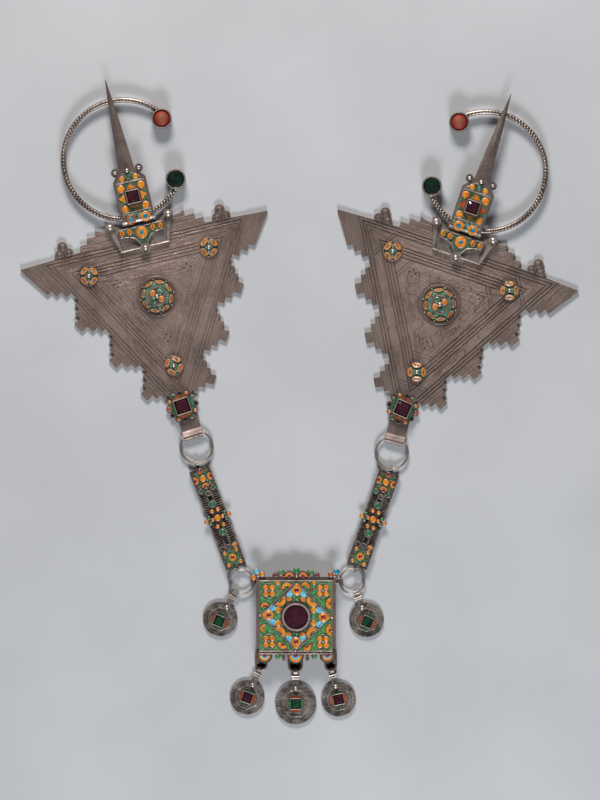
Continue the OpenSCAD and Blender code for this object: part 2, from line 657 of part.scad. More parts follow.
// Small lobes and spikes between the tabs: [middle across, foot, radius]
low_lobes = [[-14, -28.8, 2.6], [14, -28.8, 2.6], [-9.6, -32, 1.5], [8.8, -32, 1.5]];
module box_face() color("forestgreen") on_box() translate([0, 0, face_z]) {
    translate([-face_w / 2, face_low, 0]) cube([face_w, face_top - face_low, face_t]);
    for (t = tabs) translate([t[0], -29.3, 0]) {
        intersection() {
            cylinder(r = t[1], h = face_t);
            translate([-10, -10, 0]) cube([20, 14, face_t]);
        }
        translate([0, 0, face_t - 0.1]) intersection() {
            ring(3.4, 5, 0.6);
            translate([-10, -20, 0]) cube([20, 21, 5]);
        }
    }
    for (l = low_lobes) translate([l[0], l[1], 0]) {
        translate([-l[2], 0, 0]) cube([2 * l[2], face_low - l[1] + 1, face_t]);
        cylinder(r = l[2], h = face_t);
    }
    translate([0, 0, face_t - 0.1]) {
        linear_extrude(wire_t) difference() {
            polygon(diamond);
            polygon([for (p = diamond) p * diamond_in]);
        }
        translate([0, 0.5, 0]) {
            ring(box_glass_r + 1.5, box_glass_r + 3.2, wire_t);
            ring(box_glass_r + 0.2, box_glass_r + 1.9, 2.6);
        }
        for (f = flowers) translate([f.x, f.y, 0]) {
            ring(5.3, 6, wire_t);
            for (a = [45:90:315]) rotate(a) translate([3.4, 0, 0]) cap(1.9, 1);
        }
        for (i = [0:3]) translate([points[i].x, points[i].y, 0]) {
            ring(1.7, 3.9, 0.8);
            cap(1.5, 0.7);
        }
        for (i = [0:7]) translate([0, 0.5, 0]) rotate(22.5 + i * 45) translate([14.9, 0, 0]) cap(2, 0.9);
        for (a = [45:90:315]) rotate(a) translate([17.6, 0, 0]) rotate(90) almond(8.4, 3, 0.8);
    }
}
module box_glass() color("maroon") on_box() translate([0, 0.5, face_z + face_t + gap]) {
    cylinder(r = box_glass_r, h = 1.4);
    translate([0, 0, 1.3]) cap(box_glass_r - 0.3, 1.6);
}
// Lobes of the cresting: [middle across, height above the box, radius]
crest_lobes = [
    [-16, 1.6, 2.1], [-11, 2.4, 3.1], [-5, 1.6, 3.4], [0.5, 2.6, 2.6],
    [5, 1.6, 3.4], [10.8, 2.4, 3.1], [16.4, 1.6, 2.1]
];
cresting_t = 2.4;
cresting_z = box_t - cresting_t + 0.2;
module box_cresting() color("forestgreen") on_box() translate([0, 0, cresting_z]) {
    translate([-18.5, box_top + gap, 0]) cube([37, 1.8, cresting_t]);
    for (l = crest_lobes) translate([l[0], box_top + gap + l[1], 0]) {
        intersection() {
            cylinder(r = l[2], h = cresting_t);
            translate([-5, -l[1], 0]) cube([10, 20, cresting_t]);
        }
        translate([0, 0, cresting_t - 0.1]) cap(l[2] * 0.62, 0.9);
    }
}
left_brooch() plate();  // plate_l
left_brooch() boss_centre();  // boss_centre_l
left_brooch() boss_small(0, petal_turns_l);  // boss_outer_l
left_brooch() boss_small(1, petal_turns_l);  // boss_inner_l
left_brooch() boss_small(2, petal_turns_l);  // boss_low_l
left_brooch() crest_frame();  // crest_frame_l
left_brooch() crest();  // crest_l
left_brooch() pin();  // pin_l
left_brooch() pin_stone();  // pin_stone_l
left_brooch() hoop(coral_turn_l);  // hoop_l
left_brooch() hoop_coral(coral_turn_l);  // hoop_coral_l
left_brooch() hoop_glass();  // hoop_glass_l
left_brooch() on_rosette(rosette_l_at) rosette();  // rosette_l
left_brooch() on_rosette(rosette_l_at) rosette_stone();  // rosette_stone_l
left_brooch() on_foot(foot_turn_l) tongue();  // tongue_l
left_brooch() on_foot(foot_turn_l) link_ring();  // link_ring_l
strap(strap_rows[0]);  // strap_l
plaque_upper(strap_rows[0]);  // plaque_upper_l
plaque_lower(strap_rows[0]);  // plaque_lower_l
strap_cross(strap_rows[0]);  // strap_cross_l
lower_ring(0);  // lower_ring_l
side_coin(side_rows[0]);  // side_coin_l
side_stone(side_rows[0]);  // side_stone_l
right_brooch() plate();  // plate_r
right_brooch() boss_centre();  // boss_centre_r
right_brooch() boss_small(0, petal_turns_r);  // boss_outer_r
right_brooch() boss_small(1, petal_turns_r);  // boss_inner_r
right_brooch() boss_small(2, petal_turns_r);  // boss_low_r
right_brooch() crest_frame();  // crest_frame_r
right_brooch() crest();  // crest_r
right_brooch() pin();  // pin_r
right_brooch() pin_stone();  // pin_stone_r
right_brooch() hoop(coral_turn_r);  // hoop_r
right_brooch() hoop_coral(coral_turn_r);  // hoop_coral_r
right_brooch() hoop_glass();  // hoop_glass_r
right_brooch() on_rosette(rosette_r_at) rosette();  // rosette_r
right_brooch() on_rosette(rosette_r_at) rosette_stone();  // rosette_stone_r
right_brooch() on_foot(foot_turn_r) tongue();  // tongue_r
right_brooch() on_foot(foot_turn_r) link_ring();  // link_ring_r
strap(strap_rows[1]);  // strap_r
plaque_upper(strap_rows[1]);  // plaque_upper_r
plaque_lower(strap_rows[1]);  // plaque_lower_r
strap_cross(strap_rows[1]);  // strap_cross_r
lower_ring(1);  // lower_ring_r
side_coin(side_rows[1]);  // side_coin_r
side_stone(side_rows[1]);  // side_stone_r
box();  // amulet_box
box_face();
box_glass();
box_cresting();
box_coin(box_rows[0], coin_r);  // coin_left
box_drop_stone(box_rows[0], "maroon");  // stone_left
box_coin(box_rows[1], mid_coin_r);  // coin_middle
box_drop_stone(box_rows[1], "darkgreen");  // stone_middle
box_coin(box_rows[2], coin_r);  // coin_right
box_drop_stone(box_rows[2], "maroon");  // stone_right
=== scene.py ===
# %% [markdown]
# # A pair of cloak brooches with an amulet box
#
# Two large silver brooches hold a cloak at the shoulders. A strap hangs from each one, and
# the straps meet at a square amulet box with coin drops. The metal forms come from the packed
# CAD model. This lesson gives them their finishes, and sets the enamel, the fine wires and
# the silver grains on them, because those are what a jeweller adds last.

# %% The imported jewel
import math

import bpy
from mathutils import Matrix, Vector


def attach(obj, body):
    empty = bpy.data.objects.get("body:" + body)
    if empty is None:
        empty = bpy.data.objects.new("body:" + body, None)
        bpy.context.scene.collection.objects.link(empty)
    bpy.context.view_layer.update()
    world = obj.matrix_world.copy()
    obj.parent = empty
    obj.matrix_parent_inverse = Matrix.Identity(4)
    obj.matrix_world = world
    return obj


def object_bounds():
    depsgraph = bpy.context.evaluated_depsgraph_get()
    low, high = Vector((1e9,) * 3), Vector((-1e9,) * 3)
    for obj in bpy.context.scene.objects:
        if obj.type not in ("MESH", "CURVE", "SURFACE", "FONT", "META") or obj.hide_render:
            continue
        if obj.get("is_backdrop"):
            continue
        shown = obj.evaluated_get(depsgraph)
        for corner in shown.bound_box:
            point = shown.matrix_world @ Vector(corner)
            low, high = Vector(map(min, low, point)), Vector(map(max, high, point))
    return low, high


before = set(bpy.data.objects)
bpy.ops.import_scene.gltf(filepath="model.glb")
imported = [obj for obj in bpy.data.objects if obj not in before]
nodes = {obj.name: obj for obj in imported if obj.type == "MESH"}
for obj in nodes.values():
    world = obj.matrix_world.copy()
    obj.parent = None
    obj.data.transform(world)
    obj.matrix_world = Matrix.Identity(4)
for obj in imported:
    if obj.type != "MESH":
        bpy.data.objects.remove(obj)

solid_low, solid_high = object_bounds()
print(len(nodes), "solids,", [round(1000 * side) for side in solid_high - solid_low], "mm")

# %% [markdown]
# Every part of the jewel has its own bench, where its middle is at zero and it isn't turned.
# A place is a matrix in millimetres that carries work from the bench to where it lies. The
# right brooch is the left one mirrored, so its bench is flipped from side to side.

# %% Where each part lies
MM = Matrix.Scale(0.001, 4)


def bench(across, up, turn=0):
    return Matrix.Translation((across, up, 0)) @ Matrix.Rotation(math.radians(turn), 4, "Z")


BROOCHES = {
    "l": bench(-121.1, 125.7, 13.5),
    "r": bench(123.5, 118.1, -18.7) @ Matrix.Diagonal((-1, 1, 1, 1)),
}
STRAPS = {"l": bench(-75.2, -59.4, 20.7), "r": bench(67.5, -62.3, -19.1)}
LOWER_PLAQUES = {"l": -65.6, "r": -61.3}
AMULET_BOX = bench(-2.6, -167.5)
ROSETTES = {"l": bench(-0.9, -132.2), "r": bench(1.3, -130.4)}
# Turns of the two tongues about the plate's foot
TONGUES = {"l": bench(0.7, -135, 3.5), "r": bench(0.7, -135, -4)}
# One row for each drop: place of its eye, distance down to the coin, how much lower its
# setting sits, turn of its stone
DROPS = {
    "side_l": (bench(-45.2, -139.9, -29.6) @ bench(0, -9.5), 23.9, 1.6, 7.6),
    "side_r": (bench(41.1, -139.4, 20.5) @ bench(0, -9.5), 22.7, 1.6, 46.5),
    "left": (AMULET_BOX @ bench(-27, -37, -23.3) @ bench(0, -4), 23.8, 0, 3),
    "middle": (AMULET_BOX @ bench(-0.5, -37.5, 0.6) @ bench(0, -5), 25, 0, -0.6),
    "right": (AMULET_BOX @ bench(27, -37.6, 13.2) @ bench(0, -4), 23.1, 0, -1.2),
}
print("benches:", len(BROOCHES) + len(STRAPS) + len(DROPS) + 1)

# %% [markdown]
# A finish is a small web of nodes. Working a pattern out with sums is easier to read than
# boxes and wires, so a Value wraps a socket and understands plus, minus, times and divide.
# Each sum adds a Math node. Any other node comes from one method, which takes its kind, its
# settings and what goes into its sockets.


# %% Sums that become nodes
class Value:
    def __init__(self, finish, socket):
        self.finish = finish
        self.socket = socket

    def maths(self, operation, *others):
        return self.finish.maths(operation, self, *others)

    def __add__(self, other):
        return self.maths("ADD", other)

    def __radd__(self, other):
        return self.finish.maths("ADD", other, self)

    def __sub__(self, other):
        return self.maths("SUBTRACT", other)

    def __rsub__(self, other):
        return self.finish.maths("SUBTRACT", other, self)

    def __mul__(self, other):
        return self.maths("MULTIPLY", other)

    def __rmul__(self, other):
        return self.finish.maths("MULTIPLY", other, self)

    def __truediv__(self, other):
        return self.maths("DIVIDE", other)

    def fade(self, low, high):
        """0 below low, 1 above high and a soft step between."""
        return self.finish.node("ShaderNodeMapRange", {"interpolation_type": "SMOOTHSTEP"},
                                {"Value": self, "From Min": low, "From Max": high})

    def line(self, half_width):
        """1 on a line where this value is zero, and 0 away from it."""
        return 1 - self.maths("ABSOLUTE").fade(half_width * 0.5, half_width * 1.4)


class Finish:
    def __init__(self, name):
        self.material = bpy.data.materials.new(name)
        self.material.use_nodes = True
        self.web = self.material.node_tree
        self.shader = self.web.nodes["Principled BSDF"]

    def node(self, kind, settings=None, sockets=None, out=0):
        made = self.web.nodes.new(kind)
        for setting, value in (settings or {}).items():
            setattr(made, setting, value)
        self.fill(made, sockets or {})
        return Value(self, made.outputs[out])

    def fill(self, made, sockets):
        for socket, value in sockets.items():
            if isinstance(value, Value):
                self.web.links.new(value.socket, made.inputs[socket])
            else:
                made.inputs[socket].default_value = value

    def maths(self, operation, *numbers):
        return self.node("ShaderNodeMath", {"operation": operation}, dict(enumerate(numbers)))

    def spot(self, place=None):
        """Where a point lies, in millimetres, on the bench of the place that is given."""
        home = (place or Matrix.Identity(4)).inverted()
        turn = math.atan2(-home[0][1], home[1][1])
        flip = -1 if home.determinant() < 0 else 1
        here = self.node("ShaderNodeTexCoord", out="Object")
        return self.node("ShaderNodeMapping", {}, {
            "Vector": here, "Location": home.translation, "Rotation": (0, 0, turn),
            "Scale": (1000 * flip, 1000, 1000)})

    def across_up_high(self, spot):
        parts = self.node("ShaderNodeSeparateXYZ", {}, {0: spot}).socket.node
        return [Value(self, parts.outputs[i]) for i in range(3)]

    def clouds(self, spot, size, detail=3, rough=0.5):
        """Soft random clouds whose larger spots are about size millimetres wide."""
        return self.node("ShaderNodeTexNoise", {}, {
            "Vector": spot, "Scale": 1 / size, "Detail": detail, "Roughness": rough}, "Fac")

    def streaks(self, spot, scale, turn, size, detail):
        """Clouds that are drawn out in one direction, as scratches are."""
        drawn_out = self.node("ShaderNodeMapping", {}, {
            "Vector": spot, "Scale": scale, "Rotation": (0, 0, turn)})
        return self.clouds(drawn_out, size, detail)

    def blend(self, share, first, second):
        """A colour between two colours."""
        mix = self.web.nodes.new("ShaderNodeMix")
        mix.data_type = "RGBA"
        self.fill(mix, {0: share, 6: first, 7: second})
        return Value(self, mix.outputs[2])

    def relief(self, height, depth_mm):
        """Raises or sinks the surface by a value between 0 and 1."""
        bump = self.node("ShaderNodeBump", {}, {"Height": height, "Distance": depth_mm / 1000})
        self.fill(self.shader, {"Normal": bump})

    def shine(self, **sockets):
        names = {"base_color": "Base Color", "metallic": "Metallic", "roughness": "Roughness",
                 "coat_weight": "Coat Weight", "coat_roughness": "Coat Roughness", "ior": "IOR"}
        self.fill(self.shader, {names[name]: value for name, value in sockets.items()})


def tone(red, green, blue):
    """A colour as a screen shows it, from 0 to 255, turned into light."""
    def light(value):
        share = value / 255
        return share / 12.92 if share <= 0.04045 else ((share + 0.055) / 1.055) ** 2.4
    return (light(red), light(green), light(blue), 1)


def darker(colour, share):
    """The same colour with less light in it."""
    return tuple(share * part for part in colour[:3]) + (1,)


print("orange enamel as light:", [round(part, 3) for part in tone(230, 150, 46)])

# %% [markdown]
# Old silver is bright only where hands and cloth rub it. Between the high places it keeps a
# brown-grey skin of tarnish. The finish mixes a worn tone and a tarnished one by clouds of
# two sizes, darkens the corners where tarnish gathers, and adds the fine scratches of use.
# Pins, rings, wires and straps were not handled alike, so each kind has two tones of its own.

# %% Old silver
CREVICE_WIDTH = 0.0016


def old_silver(name, tarnish, worn, rough=0.42, dirt=0.55, shines_above=None, metallic=0.85):
    """Dull silver with worn patches, and bright above a height if one is given."""
    finish = Finish(name)
    spot = finish.spot()
    patches = finish.clouds(spot, 9, 4)
    specks = finish.clouds(spot, 0.9, 3)
    scratches = finish.streaks(spot, (0.12, 1.6, 1), 0.7, 0.7, 2)
    crevice = finish.node("ShaderNodeAmbientOcclusion", {"samples": 6},
                          {"Distance": CREVICE_WIDTH}, "AO")
    rubbed = (patches * 0.5 + specks * 0.3 + scratches * 0.4).fade(0.38, 0.82)
    if shines_above:
        high = finish.across_up_high(spot)[2]
        rubbed = rubbed.maths("MAXIMUM", high.fade(shines_above, shines_above + 1.5))
    colour = finish.blend(rubbed, tarnish, worn)
    colour = finish.blend(crevice.fade(0.25, 0.9), darker(tarnish, dirt), colour)
    finish.shine(base_color=colour, metallic=metallic,
                 roughness=rough + 0.25 * (1 - specks) * (1 - rubbed))
    finish.relief(scratches * 0.6 + specks * 0.4, 0.02)
    return finish


tarnished = old_silver("old_silver_dull", tone(108, 90, 85), tone(170, 150, 142))
bright = old_silver("old_silver_rubbed", tone(168, 156, 150), tone(226, 214, 206), rough=0.3)
edge_silver = old_silver("old_silver_edges", tone(124, 108, 101), tone(186, 168, 159), rough=0.55)
pin_silver = old_silver("old_silver_pins", tone(98, 83, 79), tone(158, 141, 134), shines_above=11)
crest_silver = old_silver("old_silver_crests", tone(112, 96, 90), tone(214, 200, 192),
                          shines_above=7.2)
wire_silver = old_silver("old_silver_wires", tone(146, 130, 122), tone(206, 190, 181))
collar_silver = old_silver("old_silver_collar", tone(168, 150, 138), tone(222, 206, 194),
                           rough=0.3, metallic=0.55)
cross_silver = old_silver("old_silver_cross", tone(74, 62, 56), tone(132, 116, 106), dirt=0.3)
curl_silver = old_silver("old_silver_curl", tone(104, 91, 85), tone(156, 140, 132))
ring_silver = old_silver("old_silver_rings", tone(128, 116, 109), tone(190, 178, 170), rough=0.4)
# Black silver is painted shade, for gaps and hollows that lie in shadow.
shade_black = old_silver("old_silver_black", tone(30, 26, 24), tone(58, 50, 45), rough=0.7)
silvers = [tarnished, bright, edge_silver, pin_silver, crest_silver, wire_silver, collar_silver,
           cross_silver, curl_silver, ring_silver, shade_black]
print("silver finishes:", [silver.material.name for silver in silvers])

# %% [markdown]
# Enamel is coloured glass, melted into small cells between silver wires. It pools a little
# uneven, so each colour has a deeper and a paler tone in soft clouds. Small pits and a
# smooth clear top give it its wet look. Where enamel is old, a share of it has come out and
# the silver under it shows. Stones of cut glass are darker, clearer and smoother.


# %% Enamel
def enamel(name, deep, pale, rough=0.28, lost=0):
    """Enamel with pools and pits, of which a share may be lost down to the silver."""
    finish = Finish(name)
    spot = finish.spot()
    pools = finish.clouds(spot, 2.2, 2)
    pits = finish.clouds(spot, 0.45, 2)
    colour = finish.blend(pools.fade(0.32, 0.68), deep, pale)
    pitted = finish.blend(pits.fade(0.66, 0.78), colour, darker(deep, 0.35))
    finish.shine(base_color=pitted, roughness=rough + 0.25 * pits.fade(0.55, 0.75),
                 coat_weight=0.35, coat_roughness=0.12)
    if lost:
        bare = finish.clouds(spot, 1.5, 3).fade(0.62 - 0.3 * lost, 0.7 - 0.3 * lost)
        metal = finish.blend(pools.fade(0.4, 0.6), tone(112, 98, 92), tone(176, 160, 152))
        finish.shine(base_color=finish.blend(bare, pitted, metal), metallic=0.8 * bare)
    finish.relief(pools * 0.7 + pits * 0.3, 0.05)
    return finish


orange = enamel("orange_enamel", tone(198, 112, 20), tone(230, 150, 46))
dull_orange = enamel("dull_orange_enamel", tone(178, 98, 30), tone(214, 142, 66), rough=0.36)
burnt = enamel("burnt_orange_enamel", tone(118, 66, 36), tone(176, 104, 52), rough=0.4)
rust = enamel("red_orange_enamel", tone(160, 62, 28), tone(200, 92, 46))
magenta = enamel("magenta_enamel", tone(100, 16, 46), tone(142, 38, 70))
mauve = enamel("mauve_grey_enamel", tone(96, 70, 66), tone(152, 128, 124), rough=0.4)
green = enamel("green_enamel", tone(32, 82, 52), tone(64, 124, 84))
bright_green = enamel("leaf_green_enamel", tone(40, 112, 54), tone(66, 150, 80))
worn_green = enamel("worn_green_enamel", tone(34, 78, 50), tone(72, 116, 82), lost=0.3)
pale_green = enamel("pale_green_enamel", tone(52, 106, 76), tone(112, 158, 130), lost=0.35)
barrel_green = enamel("barrel_green_enamel", tone(62, 118, 92), tone(140, 176, 158), lost=0.62)
turquoise = enamel("turquoise_enamel", tone(84, 172, 200), tone(120, 204, 226))
teal = enamel("teal_enamel", tone(14, 104, 138), tone(40, 150, 184))
smoky = enamel("smoky_teal_enamel", tone(58, 80, 78), tone(112, 128, 120), rough=0.4)
print("nodes in worn green and in green:", len(worn_green.web.nodes), len(green.web.nodes))


# %% Cut glass
def cut_glass(name, deep, glow):
    """A stone set over dark foil, so light comes back from inside as a darker tone."""
    finish = Finish(name)
    spot = finish.spot()
    smoke = finish.clouds(spot, 5, 2)
    dust = finish.clouds(spot, 0.5, 2).fade(0.6, 0.75)
    facing = finish.node("ShaderNodeLayerWeight", {}, {"Blend": 0.35}, "Facing")
    body = finish.blend(smoke.fade(0.35, 0.7), deep, glow)
    finish.shine(base_color=finish.blend(facing * 0.5, body, glow), roughness=0.08 + 0.12 * dust,
                 coat_weight=0.6, coat_roughness=0.04, ior=1.55)
    finish.relief(smoke, 0.04)
    return finish


garnet = cut_glass("garnet_glass", tone(50, 15, 29), tone(70, 22, 40))
dark_green = cut_glass("dark_green_glass", tone(5, 24, 14), tone(12, 48, 30))
leaf_glass = cut_glass("green_stone_glass", tone(5, 40, 24), tone(14, 74, 46))
print("stones of glass:", [stone.material.name for stone in (garnet, dark_green, leaf_glass)])

# %% [markdown]
# The plate was engraved with bands that follow the three sides of its triangle. All three
# sides carry the same work, so the finish folds the triangle's thirds onto one. It turns each
# point by a third of a circle until it lies under the top side, and draws the pattern once:
# how far the point lies along the side, and how deep it is from the edge.

# %% Folding the triangle
TRIANGLE_SIDE = 159.7
EDGE_FROM_MIDDLE = TRIANGLE_SIDE / (2 * math.sqrt(3))
THIRD = math.tau / 3


def apart(x, y):
    """How far a point is from a middle, worked out from its gaps across and up."""
    return (x * x + y * y).maths("SQRT")


def most(first, *others):
    """The largest of several values, so that lines may cross each other."""
    for other in others:
        first = first.maths("MAXIMUM", other)
    return first


def fold_thirds(across, up):
    """Along the side, depth from the edge, way to the corner, gap beside it, and the angle."""
    rise = up + EDGE_FROM_MIDDLE
    reach = apart(across, rise)
    angle = across.maths("ARCTAN2", rise)
    fold = angle - (angle / THIRD).maths("ROUND") * THIRD
    lean = THIRD / 2 - fold.maths("ABSOLUTE")
    return ((reach * fold.maths("SINE")).maths("ABSOLUTE"),
            EDGE_FROM_MIDDLE - reach * fold.maths("COSINE"),
            reach * lean.maths("COSINE"), reach * lean.maths("SINE"), angle)


print("from the middle of the triangle to its sides:", round(EDGE_FROM_MIDDLE, 1), "mm")

# %% [markdown]
# Two kinds of line were cut. Fine grooves run beside each other in two bands and on the
# steps of the wings. Single lines draw panels in the band between them, bars across the
# corners, a quatrefoil round each group of drilled holes, and scrolls and leaves.

# %% The lines of the engraving
BAND_MIDDLE = 7.4
PANEL_END = 10.5
PANEL_RADIUS = 3.1
CORNER_BARS = (39, 41.6)
OUTER_BARS = ((63.5, 0.45), (66, 0.4))
HOLES_FROM_MIDDLE = 29.9
SCROLL_DEPTH, SCROLL_RADIUS = 27.5, 3.8


def grooves(depth, pitch, low, high):
    """Parallel grooves that are a pitch apart, sharper as low comes nearer to high."""
    return (depth * math.tau / pitch).maths("SINE").fade(low, high)


def inside(value, low, high):
    return value.fade(low - 0.2, low + 0.2) * (1 - value.fade(high - 0.2, high + 0.2))


def single_lines(along, depth, to_corner, off_corner):
    def ring_line(x, y, radius):
        return (apart(along - x, depth - y) - radius).line(0.34)

    panels = ring_line(PANEL_END, BAND_MIDDLE, PANEL_RADIUS)
    panels = panels * (1 - along.fade(PANEL_END - 0.2, PANEL_END + 0.2))
    corner_bars = most(*((to_corner - bar).line(0.4) for bar in CORNER_BARS))
    outer_bars = most(*((to_corner - bar).line(half) for bar, half in OUTER_BARS))
    from_holes = to_corner - HOLES_FROM_MIDDLE
    lobes = (from_holes.maths("ARCTAN2", off_corner) * 2).maths("COSINE").maths("ABSOLUTE")
    quatrefoil = (apart(from_holes, off_corner) - 4.3 - lobes).line(0.36)
    lower_half = depth.fade(SCROLL_DEPTH - 0.2, SCROLL_DEPTH + 0.2)
    scroll = most(ring_line(9.5, SCROLL_DEPTH, SCROLL_RADIUS) * lower_half,
                  ring_line(17.1, SCROLL_DEPTH, SCROLL_RADIUS) * (1 - lower_half))
    leaf = most(ring_line(4.5, 23.2, 3.2) * depth.fade(23, 23.4),
                ring_line(20.9, 24.5, 2.4) * depth.fade(24.3, 24.7))
    return most(quatrefoil, scroll, leaf, corner_bars * depth.fade(18.6, 19),
                outer_bars * depth.fade(4, 4.4), panels)


print("bars across each corner:", len(CORNER_BARS) + len(OUTER_BARS))

# %% [markdown]
# The plate has painted glints, pale streaks along its polished sides, and is darker on the two
# knobs of its top edge and far from the middle boss. The left plate is rubbed much flatter than
# the right one, so its lines hardly hold any dirt.

# %% The engraved plate
PLATE_TOP = 2.4
BOSS_DOWN, BOSS_RING = 44.3, 16.6
KNOB_ACROSS, KNOB_UP = 63, 7
LINE_STRENGTHS = {"l": 0.2, "r": 0.6}


def engraved_plate(side, strength):
    finish = Finish("engraved_silver_" + side)
    spot = finish.spot(BROOCHES[side])
    across, up, high = finish.across_up_high(spot)
    along, depth, to_corner, off_corner, angle = fold_thirds(across, up)
    off_knob = apart(across.maths("ABSOLUTE") - KNOB_ACROSS, up - KNOB_UP).fade(7.6, 8.2)
    from_boss = apart(across, up + BOSS_DOWN)
    steps = (1 - depth.fade(-2.4, -2.0)) * grooves(depth, 2.1, 0.6, 1) * off_knob
    outer_band = inside(depth, -2, 4.4) * grooves(depth, 0.85, 0.1, 0.8)
    inner_band = inside(depth, 10.6, 19.2) * grooves(depth, 0.8, 0.2, 0.8)
    cut = most(single_lines(along, depth, to_corner, off_corner),
               (from_boss - BOSS_RING).line(0.5), steps * 0.7, outer_band * 0.5, inner_band * 0.45)
    cut = cut * high.fade(PLATE_TOP - 0.5, PLATE_TOP - 0.1)
    low_line = high.fade(0.3, 0.6) * (1 - high.fade(PLATE_TOP - 0.3, PLATE_TOP - 0.1))

    def drawn_along(pull, spread):
        return finish.node("ShaderNodeCombineXYZ", {}, {
            0: along * pull, 1: depth * spread, 2: angle})

    brushed = finish.clouds(drawn_along(0.05, 0.9), 0.8, 3)
    crossed = finish.streaks(spot, (1.3, 0.08, 1), 0.25, 0.8, 3)
    patches = finish.clouds(spot, 30, 4)
    freckles = finish.clouds(spot, 2.2, 4)
    glints = finish.clouds(drawn_along(0.06, 2.2), 1, 2).fade(0.54, 0.68)
    worn = (patches * 0.7 + brushed * 0.45 + crossed * 0.3 + freckles * 0.25).fade(0.55, 1.12)
    colour = finish.blend(worn, tone(108, 87, 80), tone(210, 183, 170))
    colour = finish.blend(from_boss.fade(22, 76) * 0.34, colour, tone(66, 55, 52))
    # Painted glints: pale streaks drawn out along the polished sides.
    colour = finish.blend(glints * 0.4, colour, tone(212, 194, 184))
    colour = finish.blend((1 - off_knob) * 0.6, colour, tone(78, 66, 63))
    colour = finish.blend(cut * strength, colour, tone(58, 49, 46))
    colour = finish.blend(low_line * strength, colour, tone(62, 52, 50))
    finish.shine(base_color=colour, metallic=0.72,
                 roughness=0.5 - 0.14 * worn + 0.2 * (1 - off_knob))
    finish.relief(brushed * 0.35 + crossed * 0.2 + freckles * 0.2 + glints * 0.3 - cut * 0.4, 0.14)
    return finish


plates = {side: engraved_plate(side, strength) for side, strength in LINE_STRENGTHS.items()}
print("plate finish nodes:", len(plates["l"].web.nodes))

# %% [markdown]
# The hoop is a thick wire that was chased all round with small crossed strokes. The strokes
# follow the wire, so the finish measures the angle about the hoop's own middle and waves
# the surface along it. The coral has gone dull, red at its rim and browner in the middle.

# %% The chased hoop and the coral
HOOP_MIDDLE = bench(-1, 65.5)
HOOP_RADIUS = 46.5
HOOP_HEIGHT = 5.2
STROKE_PITCH = 1.7
CUP_REACH = 43.8
CORAL_TURNS, GLASS_TURN = {"l": 33, "r": 42.6}, -34


def on_hoop(side, turn):
    """The place of a cup, which is turned about the middle of its hoop."""
    return BROOCHES[side] @ HOOP_MIDDLE @ bench(0, 0, turn) @ bench(CUP_REACH, 0)


def chased_wire(side):
    finish = Finish("chased_wire_" + side)
    spot = finish.spot(BROOCHES[side] @ HOOP_MIDDLE)
    across, up, high = finish.across_up_high(spot)
    angle = up.maths("ARCTAN2", across) * (HOOP_RADIUS / STROKE_PITCH * 2)
    one_way = (angle + high * 1.3).maths("SINE")
    other_way = (angle - high * 1.3).maths("SINE")
    strokes = (one_way * other_way).fade(0.1, 0.6)
    rubbed = (finish.clouds(spot, 14, 3) * 0.6 + finish.clouds(spot, 1.1, 3) * 0.5).fade(0.35, 0.8)
    skin = finish.blend(rubbed, tone(108, 94, 88), tone(196, 180, 170))
    finish.shine(base_color=finish.blend(strokes * 0.45, skin, tone(60, 50, 46)), metallic=0.9,
                 roughness=0.42 - 0.1 * rubbed)
    finish.relief(1 - strokes, 0.16)
    return finish


def dull_coral(side):
    finish = Finish("coral_" + side)
    spot = finish.spot(on_hoop(side, CORAL_TURNS[side]))
    across, up, high = finish.across_up_high(spot)
    out = apart(across, up) + 3 * (finish.clouds(spot, 2.5, 3) - 0.5)
    veins = finish.clouds(spot, 1.3, 4).fade(0.45, 0.6)
    body = finish.blend(out.fade(1.5, 5), tone(132, 80, 48), tone(160, 46, 28))
    finish.shine(base_color=finish.blend(veins * 0.5, body, tone(104, 44, 28)), roughness=0.6)
    finish.relief(veins, 0.06)
    return finish


hoop_wires = {side: chased_wire(side) for side in BROOCHES}
corals = {side: dull_coral(side) for side in BROOCHES}
print("hoop finishes:", sorted(f.material.name for f in hoop_wires.values()))

# %% [markdown]
# A cell plate is silver with a green enamel floor, and its wires stand above the floor. The
# CAD model has both in one solid, so the finish reads the height: what faces up at the
# floor's height is enamel, and what stands higher, or faces sideways, is silver.

# %% Green cells between silver wires
NO_LOW_EDGE = -50


def cell_floor(name, floor, place, half, share, low_edge=NO_LOW_EDGE):
    """Enamel inside a square field, of which a share is left and the rest has come out."""
    finish = Finish(name)
    spot = finish.spot(place)
    across, up, high = finish.across_up_high(spot)
    upright = finish.across_up_high(finish.node("ShaderNodeTexCoord", out="Normal"))[2]
    glass = upright.fade(0.6, 0.9) * (1 - high.fade(floor + 0.04, floor + 0.16))
    glass = glass * up.fade(low_edge - 0.05, low_edge + 0.05)
    off_middle = most(across.maths("ABSOLUTE"), up.maths("ABSOLUTE"))
    glass = glass * (1 - off_middle.fade(half - 0.1, half + 0.1))
    glass = glass * finish.clouds(spot, 3.2, 3).fade(0.52 - 0.4 * share, 0.6 - 0.4 * share)
    pools = finish.clouds(spot, 2.4, 3)
    crust = finish.clouds(spot, 0.8, 3).fade(0.6, 0.75)
    green_tone = finish.blend(pools.fade(0.35, 0.65), tone(58, 112, 62), tone(94, 156, 98))
    green_tone = finish.blend(crust * 0.6, green_tone, tone(104, 102, 88))
    silver_tone = finish.blend(pools.fade(0.4, 0.7), tone(112, 100, 95), tone(170, 156, 148))
    finish.shine(base_color=finish.blend(glass, silver_tone, green_tone),
                 metallic=0.85 * (1 - glass), roughness=0.42 - 0.12 * glass,
                 coat_weight=0.3 * glass)
    finish.relief(pools * 0.6 + crust * 0.4, 0.05)
    return finish


FACE_FLOOR, FACE_HALF, FACE_LOW = 11.4, 28.2, -26
PLAQUE_FLOOR, PLAQUE_HALF = 4.3, 5.6
